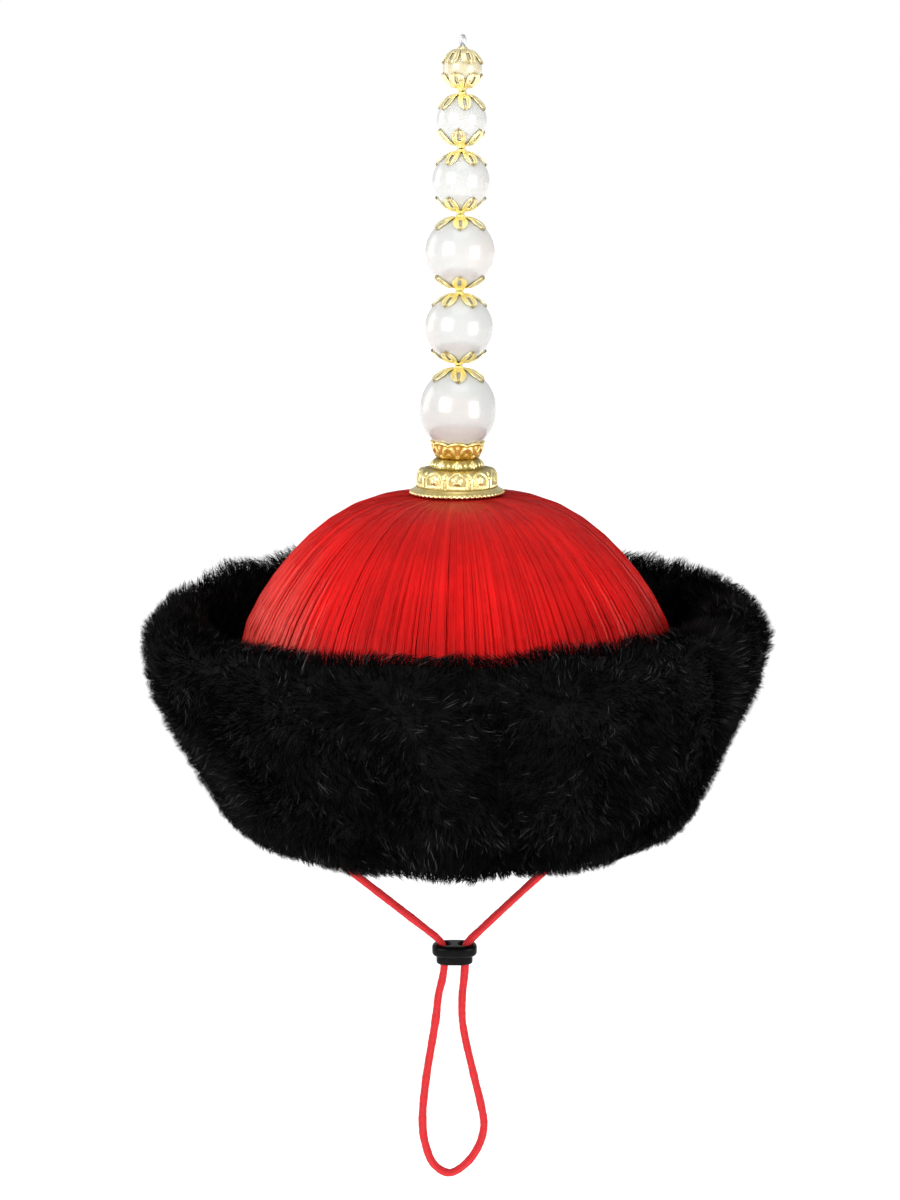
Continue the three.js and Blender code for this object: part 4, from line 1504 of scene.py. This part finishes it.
@dataclass
class GiltBase:
    """The cast base: a flange with a roped edge, a belly of arched flower panels and a tier of petals."""

    columns: int = 400
    rows: int = 66
    bore: float = 1.7
    panels: int = 10
    petals: int = 9
    depth: float = 0.75
    twists: int = 56
    belly: float = 0.85
    waist: float = 0.52
    flower_height: float = 3.9
    # The outside, as shares of the radius and of the height.
    profile: tuple[tuple[float, float], ...] = (
        (0.95, 0), (0.985, 0.012), (1, 0.05), (0.985, 0.095), (0.94, 0.12), (0.88, 0.19), (0.85, 0.225),
        (0.845, 0.34), (0.84, 0.52), (0.815, 0.62), (0.76, 0.68), (0.68, 0.71), (0.6, 0.735), (0.565, 0.775),
        (0.54, 0.85), (0.5, 0.94), (0.46, 0.985), (0.44, 1),
    )

    def build(self) -> None:
        """Makes the base with its relief."""
        low, high = node_box("finial_base")
        self.radius, self.height, self.foot = (high.x - low.x) / 2, high.z - low.z, low.z
        outside = smooth_line([(self.radius * out, self.height * up) for out, up in self.profile], self.rows)
        bm = spun([*outside, (self.bore, self.height), (self.bore, 0)], self.columns)
        emboss(bm, self.relief, self.depth)
        bmesh.ops.translate(bm, vec=(0, 0, self.foot), verts=bm.verts)
        carried(finished("base_casting", bm), Slot.GILT, CAST_GILT.material(), "finial_base")

    def relief(self, places: Points) -> Points:
        """Adds up the rope, the belly's panels and the upper petals.

        Args:
            places: Places on the base, one in each row.

        Returns:
            The relief's height there, from 0 to 1.
        """
        angle = np.arctan2(places[:, 0], -places[:, 1])
        radius, height = np.hypot(places[:, 0], places[:, 1]), places[:, 2]
        up = height / self.height
        rope = bump(np.hypot(radius - self.radius, height - 0.05 * self.height), 0.9)
        rope = rope * (0.35 + 0.65 * (0.5 + 0.5 * np.cos(self.twists * angle + 2.2 * height)))
        plain = 0.4 * (up < 0.2) * (up > 0.1)
        panels = self.panel(angle, height) * eased(up, 0.205, 0.235) * (1 - eased(up, 0.69, 0.73))
        upper = self.petal(angle, height) * eased(up, 0.745, 0.77) * (1 - eased(up, 0.965, 0.99))
        # The bore and the underside get no relief, which also gives them the dark hollow colour as painted
        # shade.
        hidden = (radius > 0.3 * self.radius) & (up > 0.001)
        return np.clip(rope + plain + panels + upper, 0, 1) * hidden

    def panel(self, angle: Points, height: Points) -> Points:
        """An arched panel with a five-lobed flower over flutes, and dots between two arches.

        Args:
            angle: Each place's angle round the base.
            height: Its height.

        Returns:
            The relief's height there, from 0 to 1.
        """
        pitch = FULL_TURN / self.panels
        share = np.mod(angle / pitch + 0.5, 1) - 0.5
        x, y = share * pitch * self.belly * self.radius, height - 0.225 * self.height
        arch = np.abs(np.hypot(x, np.maximum(y - 2.6, 0)) - 4.3)
        rim = bump(arch, 0.55) * (y > 0)
        off = np.hypot(x, y - self.flower_height)
        lobe = 1.9 + 0.85 * np.abs(np.cos(2.5 * np.arctan2(x, y - self.flower_height)))
        flower = np.sqrt(np.clip(1 - off / lobe, 0, 1)) * (0.55 + 0.45 * (off > 0.8))
        flutes = (y < 1.5) * bump(np.mod(x, 1.25) - 0.62, 0.62) * (np.abs(x) < 3.9)
        beyond = (0.5 - np.abs(share)) * pitch * self.belly * self.radius
        sizes = ((6.4, 1.0), (4.6, 0.55), (7.9, 0.5))
        dots = sum(bump(np.hypot(beyond, y - at), size) for at, size in sizes)
        grains = 0.2 + 0.25 * np.abs(np.sin(4.2 * x + 1.3 * y) * np.sin(4.6 * y - 0.8 * x))
        return np.clip(np.maximum.reduce([rim, flower, flutes, dots, grains]), 0, 1)

    def petal(self, angle: Points, height: Points) -> Points:
        """An upper petal of three lobes, with drops between.

        Args:
            angle: Each place's angle round the base.
            height: Its height.

        Returns:
            The relief's height there, from 0 to 1.
        """
        pitch = FULL_TURN / self.petals
        share = np.mod(angle / pitch + 0.5, 1) - 0.5
        x, y = share * pitch * self.waist * self.radius, height - 0.77 * self.height
        sizes = ((0, 1.9, 1.15), (-1.25, 1.1, 0.95), (1.25, 1.1, 0.95), (0, 0.5, 0.8))
        lobes = [bump(np.hypot(x - dx, (y - dy) * 0.9), size) for dx, dy, size in sizes]
        beyond = (0.5 - np.abs(share)) * pitch * self.waist * self.radius
        drop = bump(np.hypot(beyond * 1.6, y - 1.2), 1.1)
        return np.clip(np.maximum.reduce([*np.sqrt(lobes), drop]), 0.15, 1)


@dataclass
class StringLine:
    """The line that the beads are threaded on. It leans a little from the base's top."""

    def __post_init__(self) -> None:
        """Reads the lean from the frame."""
        self.foot = node_box("finial_base")[0].z
        low, high = node_box("top_bead")
        top = (low + high) / 2
        self.lean = math.atan2(top.x, top.z - self.foot)

    def stand(self, bm: bmesh.types.BMesh, along: float) -> None:
        """Puts a shape made at the origin on the line.

        Args:
            bm: The shape.
            along: Its height above the base's foot.
        """
        turn = Matrix.Translation((0, 0, self.foot)) @ Matrix.Rotation(self.lean, 4, "Y")
        bmesh.ops.transform(bm, matrix=turn @ Matrix.Translation((0, 0, along)), verts=bm.verts)

    def centre(self, node: str) -> float:
        """Gives how far along the line a node's middle lies."""
        low, high = node_box(node)
        return ((low.z + high.z) / 2 - self.foot) / math.cos(self.lean)


@dataclass
class ScallopedCup:
    """The small reddish cup under the lowest pearl, with a light scalloped lip and fans in relief."""

    wall: float = 0.8
    scallops: int = 8
    columns: int = 192
    bore: float = 1.7
    depth: float = 0.5
    dip: float = 1.3
    draw: float = 0.07
    # The outside, as shares of the radius and of the height.
    profile: tuple[tuple[float, float], ...] = (
        (0.66, 0), (0.74, 0.02), (0.8, 0.14), (0.86, 0.36), (0.92, 0.62), (0.975, 0.86), (1, 0.97)
    )

    def build(self, line: StringLine) -> None:
        """Makes the cup on the string's line.

        Args:
            line: The line of the beads.
        """
        low, high = node_box("finial_cup")
        self.radius, self.height = (high.x - low.x) / 2 - 0.2, high.z - low.z
        outside = smooth_line([(self.radius * out, self.height * up) for out, up in self.profile], 30)
        inside = outside[::-1] - np.array([self.wall, 0])
        inside[-1] = (0.62 * self.radius, self.wall)
        lip = (self.radius - self.wall / 2, self.height)
        rows = [*outside, lip, *inside, (self.bore, self.wall), (self.bore, 0)]
        bm = spun(rows, self.columns)
        kept = bm.verts.layers.float.new("relief")
        bm.normal_update()
        for vert in bm.verts:
            angle = math.atan2(vert.co.x, -vert.co.y)
            radius = math.hypot(vert.co.x, vert.co.y)
            up = vert.co.z / self.height
            valley = 1 - abs(math.cos(self.scallops * angle / 2)) ** 0.7
            if radius > 0.6 * self.radius:
                swing = (1 - self.draw * valley * up) * (1 + 0.03 * (1 - valley) * math.sin(math.pi * up))
                vert.co.x *= swing
                vert.co.y *= swing
                vert.co.z -= self.dip * valley * up**2 + 0.5 * (1 - valley) * (1 - up) ** 3
            # Inside faces get a low relief of 0.3, which paints them darker as shade inside the cup.
            height = self.fan(angle, up) if vert.normal.x * vert.co.x + vert.normal.y * vert.co.y > 0 else 0.3
            vert[kept] = height
            vert.co += vert.normal * (self.depth * height * (radius > 0.6 * self.radius))
        line.stand(bm, low.z - line.foot)
        carried(finished("cup_stamping", bm), Slot.ORANGE_GILT, CUP_GILT.material(), "finial_cup")

    def fan(self, angle: float, up: float) -> float:
        """One scallop's relief: a lip, a fan of ribs and a bud at its foot.

        Args:
            angle: The place's angle round the cup.
            up: Its height, from 0 to 1.

        Returns:
            The relief's height, from 0 to 1.
        """
        share = (angle * self.scallops / FULL_TURN + 0.5) % 1 - 0.5
        lip = max(0.0, 1 - ((up - 0.93) / 0.1) ** 2)
        spread = math.atan2(share * 1.5, up - 0.05)
        ribs = 0.5 + 0.5 * math.cos(spread * 9)
        ribs *= max(0.0, 1 - ((up - 0.5) / 0.36) ** 2)
        bud = max(0.0, 1 - (share / 0.16) ** 2 - ((up - 0.16) / 0.14) ** 2)
        return min(1.0, max(lip, ribs, bud, 0.12))


@dataclass
class Bead:
    """One drilled bead with its petalled caps."""

    node: str
    caps: tuple[Pole, ...]
    turn: float
    reach: float = 56.0
    fill: float = 0.8
    blunt: float = 1.2
    bore: float = 1.7
    gilding: Gilding = PETAL_GILT
    coating: PearlCoat = PearlCoat()
    columns: int = 60
    rings: int = 30

    def build(self, line: StringLine, finishes: dict[str, bpy.types.Material]) -> None:
        """Makes the bead and its caps on the string's line.

        Args:
            line: The line of the beads.
            finishes: The materials of all beads and caps, by name.
        """
        coating, metal = finishes[self.coating.name], finishes[self.gilding.name]
        low, high = node_box(self.node)
        self.radius = (high.y - low.y) / 2
        start = math.asin(self.bore / self.radius)
        self.half = (high.z - low.z) / 2 / math.cos(start)
        rows = [
            (self.radius * math.sin(polar), -self.half * math.cos(polar))
            for polar in np.linspace(start, math.pi - start, self.rings)
        ]
        bm = spun(rows, self.columns)
        line.stand(bm, line.centre(self.node))
        carried(finished(f"{self.node}_bead", bm), Slot.PEARL, coating, self.node)
        for pole in self.caps:
            cap = PetalCap(self.radius, self.half, self.reach, self.bore, self.fill, blunt=self.blunt).make()
            flip = math.pi if pole is Pole.BOTTOM else 0
            turned = Matrix.Rotation(flip, 4, "X") @ Matrix.Rotation(math.radians(self.turn), 4, "Z")
            bmesh.ops.transform(cap, matrix=turned, verts=cap.verts)
            line.stand(cap, line.centre(self.node))
            node = f"{self.node}_cap_{pole.value}"
            carried(finished(f"{self.node}_petals_{pole.value}", cap), Slot.GILT, metal, node)


@dataclass
class PetalCap:
    """Six leaf petals with raised rims and a pierced slit, on a small collar over a bead's pole."""

    radius: float
    half: float
    reach: float
    bore: float
    fill: float
    petals: int = 6
    blunt: float = 1.2
    stand: float = 0.2
    wall: float = 0.4
    ridge: float = 0.35
    curl: float = 0.08
    rows: int = 18
    # Across half a petal: place, height of the relief and brightness, which is painted shade, dark at the
    # slit's edges and at the petal's edge.
    section: tuple[tuple[float, float, float], ...] = (
        (0.0, 0.1, 0.6), (0.2, 0.1, 0.5), (0.28, 0.65, 0.9), (0.4, 0.7, 1.0), (0.52, 0.1, 0.85),
        (0.7, 0.15, 0.9), (0.84, 1.0, 1.0), (0.95, 0.9, 1.0), (1.0, 0.2, 0.65),
    )
    slit: tuple[float, float] = (0.42, 0.86)
    widest: float = 0.42
    collar_tone: float = 0.55

    def make(self) -> bmesh.types.BMesh:
        """Makes the cap at the origin, over the upper pole.

        Returns:
            The cap's six petals and its collar.
        """
        bm = bmesh.new()
        halves = len(self.section) - 1
        bmesh.ops.create_grid(bm, x_segments=2 * halves, y_segments=self.rows, size=1)
        kept = bm.verts.layers.float.new("relief")
        self.pierce(bm, halves)
        steps = np.linspace(0, 1, len(self.section))
        table = np.array(self.section)
        for vert in bm.verts:
            across, along = vert.co.x, (vert.co.y + 1) / 2
            place, height, bright = (float(np.interp(abs(across), steps, part)) for part in table.T)
            lift = self.ridge * height * eased(along, 0.05, 0.3)
            rise = self.stand + self.wall + lift + self.curl * along**4
            # Painted shade: the brightness is kept as the attribute relief, darker at the slit's edges, at
            # the petal's edge and towards the tip.
            vert[kept] = bright * (1 - 0.75 * float(eased(along, 0.86, 1.0))) if along > 0.25 else 0.9
            vert.co = self.on_bead(math.copysign(place, across), along, rise)
        bmesh.ops.remove_doubles(bm, verts=bm.verts, dist=0.01)
        bmesh.ops.recalc_face_normals(bm, faces=bm.faces)
        if sum(face.normal.z for face in bm.faces) < 0:
            bmesh.ops.reverse_faces(bm, faces=bm.faces)
        bmesh.ops.solidify(bm, geom=list(bm.faces), thickness=self.wall)
        first = list(bm.verts) + list(bm.edges) + list(bm.faces)
        for index in range(1, self.petals):
            copy = bmesh.ops.duplicate(bm, geom=first)["geom"]
            verts = [item for item in copy if isinstance(item, bmesh.types.BMVert)]
            turn = Matrix.Rotation(index * FULL_TURN / self.petals, 3, "Z")
            bmesh.ops.rotate(bm, cent=(0, 0, 0), matrix=turn, verts=verts)
        self.add_collar(bm, kept)
        return bm

    def pierce(self, bm: bmesh.types.BMesh, halves: int) -> None:
        """Opens the slit along the petal's middle.

        Args:
            bm: The flat grid, from -1 to 1 each way.
            halves: How many columns half the petal has.
        """
        low, high = (2 * share - 1 for share in self.slit)
        gone = [
            face for face in bm.faces
            if abs(face.calc_center_median().x) < 1 / halves and low < face.calc_center_median().y < high
        ]
        bmesh.ops.delete(bm, geom=gone, context="FACES")

    def on_bead(self, across: float, along: float, rise: float) -> Vector:
        """Places a petal's point over the bead.

        Args:
            across: From -1 at one side to 1 at the other.
            along: From 0 at the neck to 1 at the tip.
            rise: How far it stands off the bead.

        Returns:
            The place.
        """
        neck = math.asin(self.bore / self.radius)
        polar = neck + (math.radians(self.reach) - neck) * along
        beyond = max(0.0, along - self.widest) / (1 - self.widest)
        pointed = math.sqrt(max(0.0, 1 - beyond**2))
        share = 1 + (self.fill - 1) * float(eased(along, 0.05, self.widest))
        radius = (self.radius + rise) * math.sin(polar)
        angle = across * math.pi / self.petals * share * pointed**self.blunt
        height = (self.half + rise) * math.cos(polar)
        return Vector((radius * math.sin(angle), -radius * math.cos(angle), height))

    def add_collar(self, bm: bmesh.types.BMesh, kept: bmesh.types.BMLayerItem) -> None:
        """Adds the small ring round the pin.

        Args:
            bm: The petals.
            kept: The attribute relief.
        """
        foot = self.half + self.stand - 0.1
        rows = [
            (self.bore, foot), (self.bore + 0.8, foot), (self.bore + 0.5, foot + 0.45),
            (self.bore + 0.15, foot + 0.8), (self.bore + 0.1, foot + 1.15), (self.bore - 0.3, foot + 1.15),
        ]
        collar = spun(rows, 24)
        mesh = bpy.data.meshes.new("collar")
        collar.to_mesh(mesh)
        collar.free()
        before = len(bm.verts)
        bm.from_mesh(mesh)
        bpy.data.meshes.remove(mesh)
        bm.verts.ensure_lookup_table()
        for vert in bm.verts[before:]:
            vert[kept] = self.collar_tone


@dataclass
class PinAndEye:
    """The steel pin with its round head under the cap and its wire eye on top."""

    radius: float = 1.1
    head_radius: float = 5.0
    head_height: float = 1.5
    head_bevel: float = 0.4
    rim_bevel: float = 0.3
    eye_radius: float = 1.0
    eye_wire: float = 0.5
    eye_stretch: float = 1.8

    def build(self, line: StringLine) -> None:
        """Makes the pin on the string's line.

        Args:
            line: The line of the beads.
        """
        low, high = node_box("finial_pin")
        foot = (low.z - line.foot) + self.head_height
        eye_height = 2 * (self.eye_radius + self.eye_wire) * self.eye_stretch
        top = (high.z - line.foot) - eye_height + self.eye_wire * self.eye_stretch
        rows = [
            (0, foot - self.head_height), (self.head_radius - self.head_bevel, foot - self.head_height),
            (self.head_radius, foot - self.head_height + self.head_bevel),
            (self.head_radius, foot - self.rim_bevel), (self.head_radius - self.rim_bevel, foot),
            (self.radius, foot), (self.radius, top), (0, top + 0.5),
        ]
        bm = spun(rows, 24, closed=False)
        ring = bmesh.ops.create_circle(
            bm, segments=12, radius=self.eye_wire, matrix=Matrix.Translation((self.eye_radius, 0, 0))
        )["verts"]
        edges = list({edge for vert in ring for edge in vert.link_edges})
        known = set(bm.verts) - set(ring)
        bmesh.ops.spin(
            bm, geom=ring + edges, cent=(0, 0, 0), axis=(0, 1, 0), angle=FULL_TURN, steps=28, use_merge=True
        )
        eye = [vert for vert in bm.verts if vert not in known]
        bmesh.ops.scale(bm, vec=(1, 1, self.eye_stretch), verts=eye)
        bmesh.ops.translate(bm, vec=(0, 0, top + self.eye_radius * self.eye_stretch), verts=eye)
        bmesh.ops.remove_doubles(bm, verts=eye, dist=WELD)
        bmesh.ops.recalc_face_normals(bm, faces=bm.faces)
        line.stand(bm, 0)
        carried(finished("pin_and_eye", bm), Slot.STEEL, BrightWire().material(), "finial_pin")


@dataclass
class Finial:
    """The upright string of pearls on its gilt base."""

    beads: tuple[Bead, ...] = (
        Bead("pearl_1", (Pole.TOP,), turn=0, reach=46),
        Bead("pearl_2", (Pole.BOTTOM, Pole.TOP), turn=30, reach=51),
        Bead("pearl_3", (Pole.BOTTOM, Pole.TOP), turn=0, reach=50),
        Bead("pearl_4", (Pole.BOTTOM, Pole.TOP), turn=30, reach=58),
        Bead("pearl_5", (Pole.BOTTOM, Pole.TOP), turn=8, reach=68),
        Bead(
            "top_bead", (Pole.BOTTOM, Pole.TOP), turn=20, reach=76, fill=0.97, blunt=0.5,
            gilding=TOP_GILT, coating=GILDED_PEARL,
        ),
    )

    def build(self) -> None:
        """Makes every piece of the finial, from the base up."""
        line = StringLine()
        GiltBase().build()
        ScallopedCup().build(line)
        chosen = {finish.name: finish for bead in self.beads for finish in (bead.coating, bead.gilding)}
        finishes = {name: finish.material() for name, finish in chosen.items()}
        for bead in self.beads:
            bead.build(line, finishes)
        PinAndEye().build(line)


# Studio


@dataclass
class Softbox:
    """One large square light that looks at the hat's middle."""

    name: str
    azimuth: float
    elevation: float
    distance: float
    width: float
    height: float
    power: float

    def build(self, target: Vector) -> None:
        """Places the light.

        Args:
            target: What it looks at, in metres.
        """
        data = bpy.data.lights.new(self.name, "AREA")
        data.shape = "RECTANGLE"
        data.size, data.size_y = self.width, self.height
        data.energy = self.power
        light = bpy.data.objects.new(self.name, data)
        turn, rise = math.radians(self.azimuth), math.radians(self.elevation)
        way = Vector((math.sin(turn) * math.cos(rise), -math.cos(turn) * math.cos(rise), math.sin(rise)))
        light.location = target + way * self.distance
        light.rotation_euler = (-way).to_track_quat("-Z", "Y").to_euler()
        bpy.context.scene.collection.objects.link(light)


@dataclass
class Studio:
    """Camera, lights, pale floor and backdrop light, in metres."""

    camera_place: Place = (-0.0031, -1.05, 0.2926)
    camera_pitch: float = 10.5
    lens: float = 71.19
    long_side: float = 36.0
    floor_height: float = -0.6
    floor_reach: float = 30.0
    target: Place = (0.0, 0.0, 0.16)
    room_light: float = 0.44
    mirrored_light: float = 0.66
    softboxes: tuple[Softbox, ...] = (
        Softbox("softbox_left", -41, 17, 1.5, 0.95, 0.95, 16),
        Softbox("softbox_right", 50, 4, 1.5, 0.9, 1.05, 13),
        Softbox("softbox_side", -112, 14, 1.5, 0.8, 1.0, 4),
        Softbox("softbox_top", 10, 72, 1.6, 1.2, 1.0, 4.5),
    )

    def build_camera(self) -> None:
        """Sets the camera at the photograph's place and angle."""
        data = bpy.data.cameras.new("camera")
        data.lens = self.lens
        data.sensor_width = self.long_side
        data.sensor_fit = "AUTO"
        data.clip_start, data.clip_end = 0.02, 100
        camera = bpy.data.objects.new("camera", data)
        camera.location = self.camera_place
        camera.rotation_euler = (math.radians(90 - self.camera_pitch), 0, 0)
        bpy.context.scene.collection.objects.link(camera)
        bpy.context.scene.camera = camera

    def build_floor(self) -> None:
        """Adds the pale floor far below the hat."""
        bm = bmesh.new()
        bmesh.ops.create_grid(bm, x_segments=2, y_segments=2, size=self.floor_reach / MM)
        bmesh.ops.translate(bm, vec=(0, 0, self.floor_height / MM), verts=bm.verts)
        floor = finished("floor", bm)
        material, pen = new_material("pale_floor")
        grain = Effects.unevenness(pen, pen.place(), 3, 60)
        pale = pen.mixed(grain.outputs["Clouds"], (0.9, 0.9, 0.9), (0.93, 0.93, 0.93))
        surface(pen, Base_Color=pale, Roughness=0.9, Emission_Color=WHITE, Emission_Strength=0.75)
        floor.data.materials.append(material)

    def build_world(self) -> None:
        """Adds the even light of the room, which the camera sees as plain white."""
        world = bpy.data.worlds.new("room")
        bpy.context.scene.world = world
        world.use_nodes = True
        pen = Pen(world.node_tree)
        path = pen.node("ShaderNodeLightPath")
        strength = pen.spread(path.outputs["Is Glossy Ray"], 0, 1, self.room_light, self.mirrored_light)
        room = pen.node("ShaderNodeBackground", {"Color": WHITE, "Strength": strength})
        seen = pen.node("ShaderNodeBackground", {"Color": WHITE, "Strength": 1.0})
        mix = pen.node("ShaderNodeMixShader", {0: path.outputs["Is Camera Ray"]})
        pen.feed(mix.inputs[1], room.outputs[0])
        pen.feed(mix.inputs[2], seen.outputs[0])
        pen.node("ShaderNodeOutputWorld", {"Surface": mix.outputs[0]})

    def build_room(self) -> None:
        """Adds the floor, the softboxes and the room's light."""
        bpy.context.scene.view_settings.view_transform = "Standard"
        self.build_floor()
        for softbox in self.softboxes:
            softbox.build(Vector(self.target))
        self.build_world()


def main() -> None:
    """Builds the picture: camera and cord first, then the cap, the fur and the finial."""
    logging.basicConfig(level=logging.INFO, format="%(name)s: %(message)s")
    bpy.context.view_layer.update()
    studio = Studio()
    studio.build_camera()
    slider = Slider().build()
    ChinCord().build([slider])
    dome = DomeShape()
    cap = CapShell()
    cap.build(dome)
    for side in ("left", "right"):
        cap.build_tab(side)
    threads = ThreadDome()
    threads.build_ground(dome)
    threads.build_threads(dome)
    brim = FurBrim()
    brim.build_hair(brim.build_ground())
    Finial().build()
    studio.build_room()


if __name__ == "__main__":
    main()
